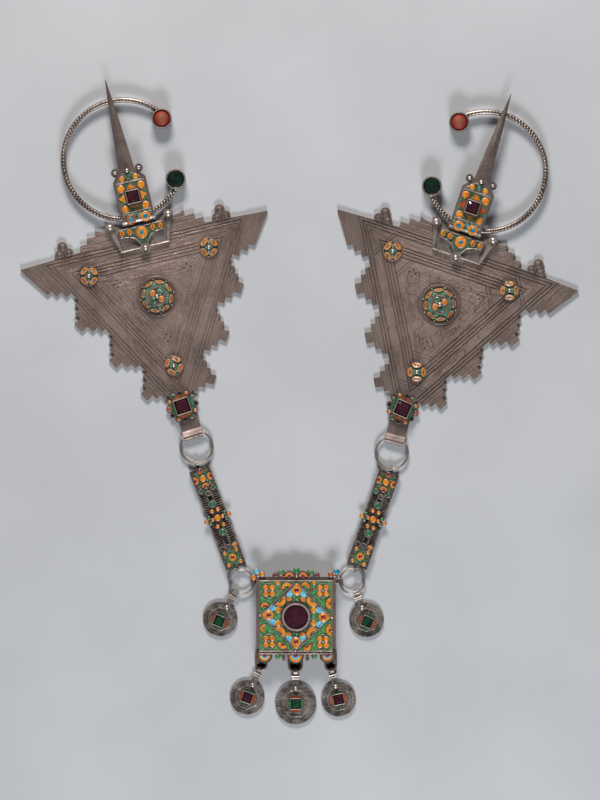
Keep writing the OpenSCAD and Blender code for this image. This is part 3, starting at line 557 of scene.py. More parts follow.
# Share of the green floor that is left
FACE_LEFT, UPPER_LEFT, LOWER_LEFT = 0.8, 0.3, 0.5
face_cells = cell_floor("box_face_cells", FACE_FLOOR, AMULET_BOX, FACE_HALF, FACE_LEFT, FACE_LOW)
print("nodes in the finish of the box's face:", len(face_cells.web.nodes))

# %% [markdown]
# Two finishes need to know where wear and darkness lie. The strap has black painted shade in its
# middle and on its sideways faces, and a coin is worn to a border of small strokes, a faint star
# and dents.


# %% The strap and the coins
def strap_metal(side):
    """Black painted shade in the strap's middle and on sideways faces, and worn on its rungs and
    rails.
    """
    finish = Finish("old_silver_strap_" + side)
    spot = finish.spot(STRAPS[side])
    across, up, high = finish.across_up_high(spot)
    upright = finish.across_up_high(finish.node("ShaderNodeTexCoord", out="Normal"))[2]
    # Painted shade: the gaps in the strap's middle and every sideways face are darkened.
    middle = (1 - across.maths("ABSOLUTE").fade(1.9, 2.8)) * (1 - high.fade(2.65, 2.9))
    dirt = most(middle, 1 - upright.fade(0.3, 0.8))
    rubbed = (finish.clouds(spot, 4, 4) * 0.6 + finish.clouds(spot, 0.7, 3) * 0.5).fade(0.4, 0.75)
    skin = finish.blend(rubbed, tone(96, 84, 78), tone(186, 172, 162))
    shade_mottle = finish.clouds(spot, 1.2, 4).fade(0.4, 0.7)
    painted_shade_tone = finish.blend(shade_mottle, tone(34, 29, 27), tone(72, 62, 54))
    finish.shine(base_color=finish.blend(dirt, skin, painted_shade_tone), metallic=0.8 - 0.6 * dirt,
                 roughness=0.45 + 0.3 * dirt)
    finish.relief(rubbed, 0.08)
    return finish


COIN_TOP = 1.8
COIN_RADIUS, MIDDLE_COIN_RADIUS = 13.5, 16.1
EIGHTH = math.tau / 8


def old_coin(name, place, radius):
    """A worn coin: a border of small strokes, a faint star, and shallow dents."""
    finish = Finish(name)
    spot = finish.spot(place)
    across, up, high = finish.across_up_high(spot)
    reach = apart(across, up)
    angle = across.maths("ARCTAN2", up)
    strokes = (angle * 44).maths("SINE").fade(-0.2, 0.7) * (reach - radius + 2).line(0.9)
    fold = angle - (angle / EIGHTH).maths("ROUND") * EIGHTH
    star = (reach * fold.maths("COSINE") - 0.62 * radius).line(0.3)
    circle = (reach - 0.76 * radius).line(0.25)
    wear = finish.clouds(spot, 7, 4)
    scratches = finish.streaks(spot, (0.1, 2, 1), 1.1, 1.1, 3)
    grime = finish.clouds(spot, 1.1, 5, rough=0.65)
    rubbed = (wear * 0.6 + scratches * 0.4 + grime * 0.5 + star * 0.15).fade(0.64, 0.92)
    colour = finish.blend(rubbed, tone(88, 80, 76), tone(192, 180, 172))
    colour = finish.blend((strokes + circle) * 0.35, colour, tone(56, 52, 49))
    above_coin = high.fade(COIN_TOP + 0.3, COIN_TOP + 0.5)
    collar = (1 - reach.fade(7.2, 7.4)) * above_coin
    colour = finish.blend(collar * 0.6, colour, tone(60, 54, 50))
    bail = most(reach.fade(7.9, 8.2) * above_coin, reach.fade(radius + 0.2, radius + 0.8))
    bail_tone = finish.blend(rubbed, tone(132, 122, 116), tone(184, 172, 165))
    finish.shine(base_color=finish.blend(bail, colour, bail_tone), metallic=0.8,
                 roughness=0.52 - 0.15 * rubbed)
    finish.relief(wear * 0.5 + grime * 0.2 + star * 0.4 + scratches * 0.3 - strokes * 0.3, 0.18)
    return finish


print("coins are", 2 * COIN_RADIUS, "and", 2 * MIDDLE_COIN_RADIUS, "mm across")

# %% [markdown]
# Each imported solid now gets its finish. Its name starts with the name of its kind, so the
# table below names the kinds, and the longest start that fits wins.

# %% A finish for every solid
CAD_FINISHES = {
    "boss_": tarnished, "crest": crest_silver, "pin_l": pin_silver, "pin_r": pin_silver,
    "pin_stone": garnet, "hoop_glass": dark_green, "rosette": tarnished,
    "rosette_stone": garnet, "tongue": tarnished, "link_ring": ring_silver,
    "strap_cross": cross_silver, "lower_ring": ring_silver, "side_stone": leaf_glass,
    "amulet_box": tarnished, "box_face": face_cells, "box_glass": garnet,
    "box_cresting": tarnished, "stone_": garnet, "stone_middle": leaf_glass,
}
for name, (hook, down, low, turn) in DROPS.items():
    node = "side_coin" + name[4:] if name.startswith("side") else "coin_" + name
    coin_radius = MIDDLE_COIN_RADIUS if name == "middle" else COIN_RADIUS
    CAD_FINISHES[node] = old_coin("old_" + node, hook @ bench(0, -down, turn), coin_radius)
for side in BROOCHES:
    for height, down, left in (("upper", 0, UPPER_LEFT),
                               ("lower", LOWER_PLAQUES[side], LOWER_LEFT)):
        CAD_FINISHES[f"plaque_{height}_{side}"] = cell_floor(
            f"plaque_cells_{height}_{side}", PLAQUE_FLOOR, STRAPS[side] @ bench(0, down),
            PLAQUE_HALF, left)
    CAD_FINISHES["strap_" + side] = strap_metal(side)
    CAD_FINISHES["plate_" + side] = plates[side]
    CAD_FINISHES["hoop_" + side] = hoop_wires[side]
    CAD_FINISHES["hoop_coral_" + side] = corals[side]
for name, solid in nodes.items():
    longest = max((start for start in CAD_FINISHES if name.startswith(start)), key=len)
    solid.data.materials.clear()
    solid.data.materials.append(CAD_FINISHES[longest].material)
print("solids with a finish:", len(nodes))

# %% [markdown]
# A jeweller doesn't cut every drop of enamel by itself. Each common form is made once, as a
# die, and then struck many times. A die is modelled at a size of one, from a primitive that
# is reshaped in edit mode: extruded up, inset so that it domes, or cut and pinched.

# %% Tools of the bench
dies = []


def begin(add_primitive, **sizes):
    """Adds a primitive with nothing else selected and opens it for editing."""
    bpy.ops.object.select_all(action="DESELECT")
    add_primitive(**sizes)
    bpy.ops.object.mode_set(mode="EDIT")


def pick(test):
    """Selects the points of the open work that pass the test."""
    bpy.ops.mesh.select_all(action="DESELECT")
    bpy.ops.object.mode_set(mode="OBJECT")
    for point in bpy.context.object.data.vertices:
        point.select = test(point.co)
    bpy.ops.object.mode_set(mode="EDIT")


def dome(wall, *steps):
    """Raises the open flat face and steps it inwards and up."""
    bpy.ops.mesh.extrude_region_move(TRANSFORM_OT_translate={"value": (0, 0, wall)})
    for inset, rise in steps:
        bpy.ops.mesh.inset(thickness=inset, depth=rise)


def keep_die(name, smooth=40):
    """Closes the work, turns its faces outwards and puts it with the dies."""
    bpy.ops.mesh.select_all(action="SELECT")
    bpy.ops.mesh.normals_make_consistent(inside=False)
    bpy.ops.object.mode_set(mode="OBJECT")
    bpy.ops.object.shade_smooth_by_angle(angle=math.radians(smooth))
    die = bpy.context.object
    die.name = name
    dies.append(die)
    return die


# %% [markdown]
# The drop is a small cushion of enamel, and the petal is a drop pinched at two ends. The
# grain is a silver ball that has slumped a little into its solder.

# %% Drop, petal and grain
DROP_STEPS = (0.13, 0.27), (0.2, 0.17), (0.3, 0.09)
begin(bpy.ops.mesh.primitive_circle_add, vertices=20, radius=1, fill_type="NGON")
dome(0.45, *DROP_STEPS)
drop = keep_die("drop")

begin(bpy.ops.mesh.primitive_circle_add, vertices=18, radius=1, fill_type="NGON")
bpy.ops.transform.resize(value=(0.9, 0.46, 1))
pick(lambda spot: abs(spot.x) > 0.86)
bpy.ops.transform.resize(value=(1.12, 1, 1))
bpy.ops.mesh.select_all(action="SELECT")
dome(0.5, (0.06, 0.24), (0.09, 0.14), (0.13, 0.12))
petal = keep_die("petal")

begin(bpy.ops.mesh.primitive_uv_sphere_add, segments=16, ring_count=10, radius=1)
bpy.ops.transform.translate(value=(0, 0, 0.7))
bpy.ops.mesh.bisect(plane_co=(0, 0, 0.12), plane_no=(0, 0, 1), clear_inner=True, use_fill=True)
bpy.ops.mesh.extrude_region_move(TRANSFORM_OT_translate={"value": (0, 0, -0.12)})
bpy.ops.transform.resize(value=(1.25, 1.25, 1))
grain = keep_die("grain", 50)
for die in (drop, petal, grain):
    print(die.name, "has", len(die.data.polygons), "faces")

# %% [markdown]
# Rings start as a torus that is pressed flatter. The band is a broad ring of enamel, the rim
# a thin wire round a cell, and the crescent is half a band, cut by a plane. The eye is a band
# whose outer end is pulled to a point.

# %% Band, rim, crescent and eye
BAND = {"major_segments": 28, "minor_segments": 8, "major_radius": 0.72, "minor_radius": 0.28}
begin(bpy.ops.mesh.primitive_torus_add, **BAND)
bpy.ops.transform.resize(value=(1, 1, 1.8))
band = keep_die("band")


def rim(radius, wire):
    """A wire ring as a die, since its wire doesn't grow with its radius."""
    begin(bpy.ops.mesh.primitive_torus_add, major_segments=32, minor_segments=6,
          major_radius=radius, minor_radius=wire)
    bpy.ops.transform.resize(value=(1, 1, 0.9))
    return keep_die("rim")


def half_band(sizes, tall):
    """Half of a band, closed where the plane cuts it."""
    begin(bpy.ops.mesh.primitive_torus_add, **sizes)
    bpy.ops.mesh.bisect(plane_co=(0, 0, 0), plane_no=(0, 1, 0), clear_inner=True, use_fill=True)
    bpy.ops.mesh.select_all(action="SELECT")
    bpy.ops.transform.resize(value=(1, 1, tall))
    return keep_die("crescent")


crescent = half_band(BAND, 1.8)
broad_crescent = half_band(BAND | {"major_radius": 0.66, "minor_radius": 0.34}, 1.5)

begin(bpy.ops.mesh.primitive_torus_add, **BAND)
pick(lambda spot: spot.y > 0.88)
bpy.ops.transform.translate(value=(0, 0.34, 0))
pick(lambda spot: 0.6 < spot.y <= 0.88 and math.hypot(spot.x, spot.y) > 0.72)
bpy.ops.transform.translate(value=(0, 0.12, 0))
bpy.ops.mesh.select_all(action="SELECT")
bpy.ops.transform.resize(value=(1, 1, 1.8))
eye = keep_die("eye", 60)

begin(bpy.ops.mesh.primitive_cylinder_add, vertices=8, radius=1, depth=1)
bpy.ops.transform.rotate(value=math.radians(90), orient_axis="Y", center_override=(0, 0, 0))
bpy.ops.transform.translate(value=(0.5, 0, 0))
bar = keep_die("bar")
print("dies:", [die.name for die in dies])

# %% [markdown]
# Flat fields of enamel have shapes of their own. A circle with as many points as the field
# has corners is enough: the points move to the corners, and the face is raised and softened.


# %% Fields, places and setting
def field(corners, thick):
    begin(bpy.ops.mesh.primitive_circle_add, vertices=len(corners), fill_type="NGON")
    bpy.ops.object.mode_set(mode="OBJECT")
    for point, corner in zip(bpy.context.object.data.vertices, corners):
        point.co = (*corner, 0)
    bpy.ops.object.mode_set(mode="EDIT")
    bpy.ops.mesh.select_all(action="SELECT")
    bpy.ops.mesh.normals_make_consistent(inside=False)
    bpy.ops.mesh.extrude_region_move(TRANSFORM_OT_translate={"value": (0, 0, thick)})
    return keep_die("field", 30)


def both_sides(half):
    """A closed outline from its right half, read from the top down."""
    return [(x, y) for x, y in half] + [(-x, y) for x, y in reversed(half)]


def at(x, y, z, size, tall=None, turn=0, wide=None):
    """The place of one strike: where it goes, how large it is and how far it is turned."""
    wide = size if wide is None else wide
    tall = size if tall is None else tall
    return (Matrix.Translation((x, y, z)) @ Matrix.Rotation(math.radians(turn), 4, "Z")
            @ Matrix.Diagonal((size, wide, tall, 1)))


def rod(start, end, z, thick, tall=None):
    """The place of a bar between two points."""
    run = Vector(end) - Vector(start)
    turn = math.degrees(math.atan2(run.y, run.x))
    return at(*start, z, run.length, tall or thick, turn, thick)


def wires(corners, z, thick):
    """Bars from corner to corner, and from the last corner back to the first one."""
    return [rod(start, end, z, thick) for start, end in zip(corners, corners[1:] + corners[:1])]


def settle(name, work, finish, body="jewel"):
    """Strikes each die in each of its places, and joins the strikes into one piece."""
    bpy.ops.object.select_all(action="DESELECT")
    for die, places in work:
        for place in places:
            strike = bpy.data.objects.new(name, die.data.copy())
            strike.data.transform(MM @ place)
            if place.determinant() < 0:
                strike.data.flip_normals()
            bpy.context.collection.objects.link(strike)
            strike.select_set(True)
            bpy.context.view_layer.objects.active = strike
    bpy.ops.object.join()
    piece = bpy.context.view_layer.objects.active
    piece.name = name
    piece.data.materials.clear()
    piece.data.materials.append(finish.material)
    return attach(piece, body)


# How far a cell's wall stands out beyond its enamel, and how tall it is against the enamel
WALL_OUT, WALL_TALL = 0.38, 0.62


def cells(name, work, finish, body="jewel", wall=tarnished):
    """Settles enamel, and round each cell a silver wall that is a little wider and lower."""
    settle(name, work, finish, body)
    walls = []
    for die, places in work:
        reach = [max(abs(point.co[i]) for point in die.data.vertices) for i in (0, 1)]
        for place in places:
            grow = [1 + WALL_OUT / (place.col[i].length * reach[i]) for i in (0, 1)]
            walls.append((die, [place @ Matrix.Diagonal((*grow, WALL_TALL, 1))]))
    return settle(name + "_walls", walls, wall, body)


def turned_places(count, start=0):
    """Matrices that turn work round the bench's middle in equal steps."""
    return [bench(0, 0, start + i * 360 / count) for i in range(count)]


print("setting tools ready")

# %% [markdown]
# The middle boss is a green dome with eight orange eyes round its slope, each with a smoky
# pupil, and a cup of four drops on top. The eyes lie on the slope, so their place is turned
# out, moved and tilted in the same way as the raised petals of the solid.

# %% The middle boss
BOSS = Matrix.Translation((0, -BOSS_DOWN, 2.5))
EYE_TILT = Matrix.Rotation(math.radians(56), 4, "Y") @ bench(0, 0, 90)
CUP_TOP, CUP_DROP = 7.8, 2.83
boss_eyes = [BOSS @ turn @ Matrix.Translation((10.2, 0, 2.8)) @ EYE_TILT
             for turn in turned_places(8, 22.5)]
begin(bpy.ops.mesh.primitive_cone_add, vertices=48, radius1=12.7, radius2=8.72, depth=5.2)
bpy.ops.transform.translate(value=(0, 0, 3.4))
pick(lambda spot: spot.z > 5.9)
bpy.ops.mesh.inset(thickness=0.4, depth=0.05)
slope = keep_die("slope", 30)
boss_rim = rim(7.1, 0.34)
boss_foot = rim(15.3, 0.34)
for side, brooch in BROOCHES.items():
    cup = brooch @ BOSS
    settle("boss_green_" + side, [
        (slope, [cup]),
        (drop, [cup @ at(CUP_DROP, CUP_DROP, CUP_TOP, 2.5, 1.25)])], pale_green)
    cells("boss_dark_" + side, [
        (drop, [cup @ at(-CUP_DROP, -CUP_DROP, CUP_TOP, 2.4, 1.25)])], green, wall=edge_silver)
    cells("boss_orange_" + side, [
        (band, [brooch @ place @ at(0, 0, 1.2, 3.5, 1, wide=2.5) for place in boss_eyes]),
        (drop, [cup @ at(CUP_DROP * x, CUP_DROP * y, CUP_TOP, 2.4, 1.25)
                for x, y in ((-1, 1), (1, -1))])],
        dull_orange, wall=edge_silver)
    settle("boss_pupils_" + side, [
        (drop, [brooch @ place @ at(0, 0, 1.15, 1.4, 0.5, wide=1.05) for place in boss_eyes])],
        smoky)
    settle("boss_wires_" + side, [
        (boss_rim, [cup @ at(0, 0, CUP_TOP, 1)]), (boss_foot, [cup @ at(0, 0, 0.15, 1)]),
        (grain, [cup @ turn @ at(13.2, 0, 0.9, 0.7) for turn in turned_places(8)]
         + [cup @ at(0, 0, 8.4, 1.8)])], bright)
print("boss eyes:", len(boss_eyes))

# %% [markdown]
# The three small bosses repeat the same idea with four eyes, whose pupils are a greyish
# mauve, and a silver ball on top. One bench serves all three.

# %% The small bosses
SMALL_BOSSES = [(-48, -16.5), (48, -16.5), (0, -99.8)]
# How far the eyes of each boss are turned, since no two were soldered on alike
EYE_TURNS = {"l": [31.5, 31.5, 55], "r": [71.3, 26.3, 71.3]}
SMALL_TILT = Matrix.Rotation(math.radians(42), 4, "Y") @ bench(0, 0, 90)
begin(bpy.ops.mesh.primitive_cone_add, vertices=32, radius1=6.7, radius2=2.72, depth=3.4)
bpy.ops.transform.translate(value=(0, 0, 1.95))
pick(lambda spot: spot.z > 3.5)
bpy.ops.mesh.inset(thickness=0.3, depth=0.04)
small_slope = keep_die("small_slope", 30)
small_boss_rim = rim(7.3, 0.34)
for side, brooch in BROOCHES.items():
    seats = [brooch @ bench(*spot, turn) @ Matrix.Translation((0, 0, 2.5))
             for spot, turn in zip(SMALL_BOSSES, EYE_TURNS[side])]
    eyes = [seat @ turn @ Matrix.Translation((4.6, 0, 1.9)) @ SMALL_TILT
            for seat in seats for turn in turned_places(4)]
    settle("small_boss_green_" + side, [(small_slope, seats)], pale_green)
    cells("small_boss_orange_" + side, [
        (band, [place @ at(0, 0, 0.95, 3.5, 0.9, wide=2.45) for place in eyes])],
        orange, wall=edge_silver)
    settle("small_boss_pupils_" + side, [
        (drop, [place @ at(0, 0, 0.9, 1.7, 0.5, wide=1.15) for place in eyes])], mauve)
    settle("small_boss_wires_" + side, [
        (small_boss_rim, [seat @ at(0, 0, 1.25, 1) for seat in seats]),
        (grain, [seat @ at(0, 0, 3.5, 1.7) for seat in seats])], bright)
print("eyes on the small bosses of each brooch:", len(eyes))

# %% [markdown]
# The crest covers the joint. It is a green field inside a silver border, with four orange
# ovals and a large orange disc that has a teal middle. Behind it lies a tray, and three
# thin wires mark the tray's rim.

# %% The crest
CREST_TOP, TRAY_TOP = 6.2, 5.6
CREST_HALF = [(17, 12), (17, 6.2), (10.6, 5.6), (5.8, 3.4), (3, -0.8), (2.1, -2.6)]
# The rim of the tray behind the crest, from its left end to its right one
TRAY_EDGE = [(-25.6, 17), (-19.2, -4.7), (19.2, -4.7), (25.6, 17)]
OVALS_ACROSS = (-15.3, -9.3, 9.3, 15.3)
DISC_UP = 7
crest_green = field(both_sides(CREST_HALF), 0.16)
crest_rim = rim(4.8, 0.3)
for side, brooch in BROOCHES.items():
    settle("crest_green_" + side, [(crest_green, [brooch @ at(0, 0, CREST_TOP, 1)])], worn_green)
    cells("crest_orange_" + side, [
        (petal, [brooch @ at(x, 9, CREST_TOP + 0.6, 2.5, 1.9, 90, wide=4.2)
                 for x in OVALS_ACROSS]),
        (drop, [brooch @ at(0, DISC_UP, CREST_TOP + 0.5, 4.5, 1.3)])], orange, wall=edge_silver)
    settle("crest_teal_" + side, [(drop, [brooch @ at(0, DISC_UP, CREST_TOP + 1.5, 1.7, 0.6)])],
           teal)
    settle("crest_wires_" + side, [
        (crest_rim, [brooch @ at(0, DISC_UP, CREST_TOP + 0.55, 1)]),
        (bar, [brooch @ place for place in wires(both_sides(CREST_HALF), CREST_TOP + 0.1, 0.38)])],
        wire_silver)
    settle("tray_edges_" + side, [
        (bar, [brooch @ place for place in wires(TRAY_EDGE, TRAY_TOP, 0.42)[:3]])], wire_silver)
print("wires on the rim of each tray:", len(TRAY_EDGE) - 1)

# %% [markdown]
# The head of the pin has a gable with a green ring, a panel with a square stone between
# orange drops, and a barrel with two orange rings that roll over the hinge. The rings and
# their green ground are made flat, and then each point is let down onto the barrel.

# %% The head of the pin
HEAD_TOP = 10.2
HINGE_UP = 19
BARREL_RADIUS = 5
# One row for each pair of drops: across, up, radius
HEAD_DROPS = [(8, 43, 2.95), (8, 27, 2.75), (5.4, 50.4, 2.1)]
FLIP = Matrix.Diagonal((-1, 1, 1, 1))


def over_barrel(die):
    """Lets flat work down onto the barrel, below the line where it starts to bend."""
    for point in die.data.vertices:
        below = max(HINGE_UP - point.co.y, 0)
        out = BARREL_RADIUS + point.co.z
        point.co.z = HOOP_HEIGHT + math.sqrt(max(out * out - below * below, 0.2))
    return die


GABLE = both_sides([(2, 54.6), (5.6, 52.6), (9.6, 48.9), (9.6, 47.8)])
gable = field(GABLE, 0.14)
panel = field(both_sides([(10.8, 46.4), (10.8, 24.6)]), 0.14)
side_triangle = field([(6, 31), (10.9, 35.2), (6, 39.4)], 0.16)
top_triangle = field([(-4.1, 41.2), (4.1, 41.2), (0, 46.1)], 0.16)
low_triangle = field([(-4.1, 29.2), (0, 24.3), (4.1, 29.2)], 0.16)
begin(bpy.ops.mesh.primitive_grid_add, x_subdivisions=2, y_subdivisions=16, size=1)
bpy.ops.transform.resize(value=(21.6, 8.4, 1))
bpy.ops.transform.translate(value=(0, 19.4, 0.02))
bpy.ops.mesh.extrude_region_move(TRANSFORM_OT_translate={"value": (0, 0, 0.12)})
barrel_skin = over_barrel(keep_die("barrel_skin"))
begin(bpy.ops.mesh.primitive_torus_add, major_segments=36, minor_segments=8,
      major_radius=2.95, minor_radius=1.15)
bpy.ops.transform.resize(value=(1, 1, 0.5))
bpy.ops.transform.translate(value=(5.8, 18.4, 0.14))
barrel_ring = over_barrel(keep_die("barrel_ring"))
print("barrel ring from", round(min(p.co.z for p in barrel_ring.data.vertices), 2), "mm up")

# %% [markdown]
# The two pins differ: the right one has red-orange triangles beside its stone, and the left
# one has a ring that was burnt brown. Fine bars edge the head, and three balls stand on its
# shoulders and at the foot of the needle. All of this rides the pin, so it lifts with it.

# %% Enamel, wires and stone edge of the pin
BEZEL_UP, BEZEL_HALF, BEZEL_TOP = 35.2, 5.1, 14.35
GABLE_RING_UP = 51.5
PANEL_ENDS = (24, 47)
SIDE_BAR, SIDE_BAR_ENDS = 11, (20.5, 49)
CUP_RIM_HEIGHT = 9


def square_edge(x, y, z, half, thick=0.42):
    """Four bars along the top of a square setting."""
    corners = [(x - half, y - half), (x + half, y - half), (x + half, y + half),
               (x - half, y + half)]
    return wires(corners, z, thick)


cup_rim = rim(7.35, 0.42)
for side, brooch in BROOCHES.items():
    body = f"pin_{side}_body"
    on_head = brooch @ at(0, 0, HEAD_TOP, 1)
    settle("pin_green_" + side, [
        (gable, [on_head]), (panel, [on_head]),
        (band, [brooch @ at(0, GABLE_RING_UP, HEAD_TOP + 0.35, 3.3, 1.1)])], worn_green, body)
    settle("pin_barrel_" + side, [(barrel_skin, [brooch])], barrel_green, body)
    raised = brooch @ Matrix.Translation((0, 0, HEAD_TOP + 0.45))
    sides = (side_triangle, [raised, raised @ FLIP])
    cells("pin_orange_" + side, [
        (drop, [brooch @ at(s * x, y, HEAD_TOP, radius, 1.05)
                for s in (-1, 1) for x, y, radius in HEAD_DROPS]),
        (top_triangle, [raised]), (barrel_ring, [brooch] + [brooch @ FLIP] * (side == "r"))]
        + [sides] * (side == "l"), orange, body, edge_silver)
    if side == "r":
        cells("pin_rust_r", [sides], rust, body)
    cells("pin_burnt_" + side, [
        (low_triangle, [raised]), (barrel_ring, [brooch @ FLIP] * (side == "l"))], burnt, body)
    settle("pin_teal_" + side, [
        (drop, [brooch @ at(s * 5.8, 18.6, HEAD_TOP - 0.05, 1.75, 0.6) for s in (-1, 1)])],
        teal, body)
    settle("pin_smoky_" + side, [
        (drop, [brooch @ at(0, GABLE_RING_UP, HEAD_TOP + 0.1, 1.5, 0.7)])], smoky, body)
    edges = [rod((-SIDE_BAR, y), (SIDE_BAR, y), HEAD_TOP + 0.05, 0.4) for y in PANEL_ENDS]
    edges += [rod((x, SIDE_BAR_ENDS[0]), (x, SIDE_BAR_ENDS[1]), HEAD_TOP - 0.15, 0.4)
              for x in (-SIDE_BAR, SIDE_BAR)]
    edges += wires(GABLE, HEAD_TOP + 0.1, 0.34)
    edges += square_edge(0, BEZEL_UP, BEZEL_TOP, BEZEL_HALF)
    settle("pin_edges_" + side, [(bar, [brooch @ place for place in edges])],
           edge_silver, body)
    settle("cup_rims_" + side, [
        (cup_rim, [on_hoop(side, turn) @ at(0, 0, CUP_RIM_HEIGHT, 1)
                   for turn in (CORAL_TURNS[side], GLASS_TURN)])],
        bright, f"hoop_{side}_body")
    settle("pin_balls_" + side, [
        (grain, [brooch @ at(s * 9.5, 56.3, HEAD_TOP + 0.1, 1.6) for s in (-1, 1)]
         + [brooch @ at(0, 56.2, HEAD_TOP + 0.5, 1.7)])], bright, body)
print("balls on the heads of the pins:", 3 * len(BROOCHES))

# %% [markdown]
# The rosette hides where the tongue is joined. Twelve lobes stand round it, and a square
# stone sits in the middle. Between the square and the round collar four segments are left,
# which a jeweller fills with enamel: burnt orange above and below, and green at the sides.


# %% The rosette
def segment(chord, radius, thick, count=9):
    """The slice of a disc above a chord, as a field."""
    reach = math.acos(chord / radius)
    turns = [math.pi / 2 - reach + 2 * reach * i / (count - 1) for i in range(count)]
    return field([(radius * math.cos(turn), radius * math.sin(turn)) for turn in turns], thick)


ROSETTE_TURN = 5
LOBE_OUT, LOBE_STEP = 10.4, 30
# The enamel of each lobe, where some have lost theirs
LOBE_FINISHES = ["lost", "green", "orange", "lost", "green", "orange",
                 "rust", "lost", "orange", "lost", "green", "orange"]
rosette_slice = segment(6.5, 9, 0.3)
lobe_rim = rim(1.75, 0.28)
for side, brooch in BROOCHES.items():
    middle = brooch @ ROSETTES[side]
    square = middle @ bench(0, 0, ROSETTE_TURN)
    lobes = {finish: [] for finish in LOBE_FINISHES}
    lobe_rims = []
    for i, finish in enumerate(LOBE_FINISHES):
        lobe = middle @ bench(0, 0, LOBE_STEP * i)
        large = i % 2 == 0
        lobes[finish].append(lobe @ at(LOBE_OUT, 0, 3.8, 1.15 + 0.3 * large, 1))
        lobe_rims.append(lobe @ at(LOBE_OUT, 0, 3.95, 1.08 if large else 0.86))
    slices = [middle @ bench(0, 0, ROSETTE_TURN + turn) @ at(0, 0, 4.65, 1)
              for turn in (0, 180, 90, 270)]
    cells("rosette_orange_" + side, [(drop, lobes["orange"])], orange)
    cells("rosette_burnt_" + side, [(rosette_slice, slices[:2])], burnt)
    cells("rosette_green_" + side, [(drop, lobes["green"]), (rosette_slice, slices[2:])], green)
    cells("rosette_rust_" + side, [(drop, lobes["rust"])], rust)
    # Each lobe that lost its enamel holds a black drop, painted shade in its empty hollow.
    settle("rosette_dirt_" + side, [(drop, lobes["lost"])], shade_black)
    settle("rosette_edge_" + side, [
        (bar, [square @ place for place in square_edge(0, 0, 8.55, 5.85)]),
        (lobe_rim, lobe_rims)], edge_silver)
print("rosette lobes:", len(LOBE_FINISHES))

# %% [markdown]
# Below the rosette the tongue is a sheet of silver that was curled up and round the ring. The
# curl is a flat strip of small faces whose rows are let down onto a round bar, so that it
# shines where it is bent. Hands have rubbed it brighter than the flat sheet.

# %% The curl of the tongue
CURL_MIDDLE, CURL_HEIGHT, CURL_RADIUS, TONGUE_TOP = -21.6, 2.8, 2.25, 2.1
# Way above the middle of the curl in which it falls to the flat sheet
CURL_FADE = 6
begin(bpy.ops.mesh.primitive_grid_add, x_subdivisions=6, y_subdivisions=24, size=1)
bpy.ops.transform.resize(value=(15.2, 8.6, 1))
bpy.ops.transform.translate(value=(0, CURL_MIDDLE + 2.2, 0))
bpy.ops.mesh.extrude_region_move(TRANSFORM_OT_translate={"value": (0, 0, 0.3)})
curl = keep_die("curl", 60)
for point in curl.data.vertices:
    up = point.co.y - CURL_MIDDLE
    bend = math.sqrt(max(CURL_RADIUS ** 2 - min(up, 0) ** 2, 0.1))
    fall = 1 if up <= 0 else 0.5 + 0.5 * math.cos(math.pi * min(up / CURL_FADE, 1))
    point.co.z += TONGUE_TOP - 0.35 + (CURL_HEIGHT + bend - TONGUE_TOP) * fall
for side, brooch in BROOCHES.items():
    settle("tongue_curl_" + side, [(curl, [brooch @ TONGUES[side]])], curl_silver)
print("the curl rises to", round(max(point.co.z for point in curl.data.vertices), 2), "mm")

# %% [markdown]
# A strap has a plaque at each end and a cross of cabochons in the middle. Each orange
# crescent opens outwards and holds a magenta dot. The round beads of the cross are orange
# and green, and the two largest ones stand in silver rims. A dark sheet behind the pierced
# sheet is painted shade, which keeps its gaps black.

# %% The straps
QUARTERS = [bench(0, 0, turn) for turn in (0, 90, 180, 270)]
CROSS_UP = {"l": -32.8, "r": -30.65}
# Beads of the cross: across, up, radius. Each is repeated on the other side of both middles
ORANGE_BEADS = [(0, 0, 2.9), (2.4, 6.3, 1.7), (4.1, 0, 1.4), (9.2, 0, 1.8)]
GREEN_BEADS = [(0, 11.5, 2.9), (6.6, 2.2, 1.5)]
large_rim = rim(2.75, 0.42)
small_rim = rim(2, 0.36)
begin(bpy.ops.mesh.primitive_grid_add, x_subdivisions=1, y_subdivisions=8, size=1)
bpy.ops.mesh.extrude_region_move(TRANSFORM_OT_translate={"value": (0, 0, 1)})
backing = keep_die("backing")


def beads(cross, spots):
    """Beads at all mirrored places of the cross, and once only where they lie on its middle."""
    return [cross @ at(s * x, t * y, 4.5, 0.86 * radius, 0.5 * radius + 0.45)
            for x, y, radius in spots
            for s in ((-1, 1) if x else (1,)) for t in ((-1, 1) if y else (1,))]


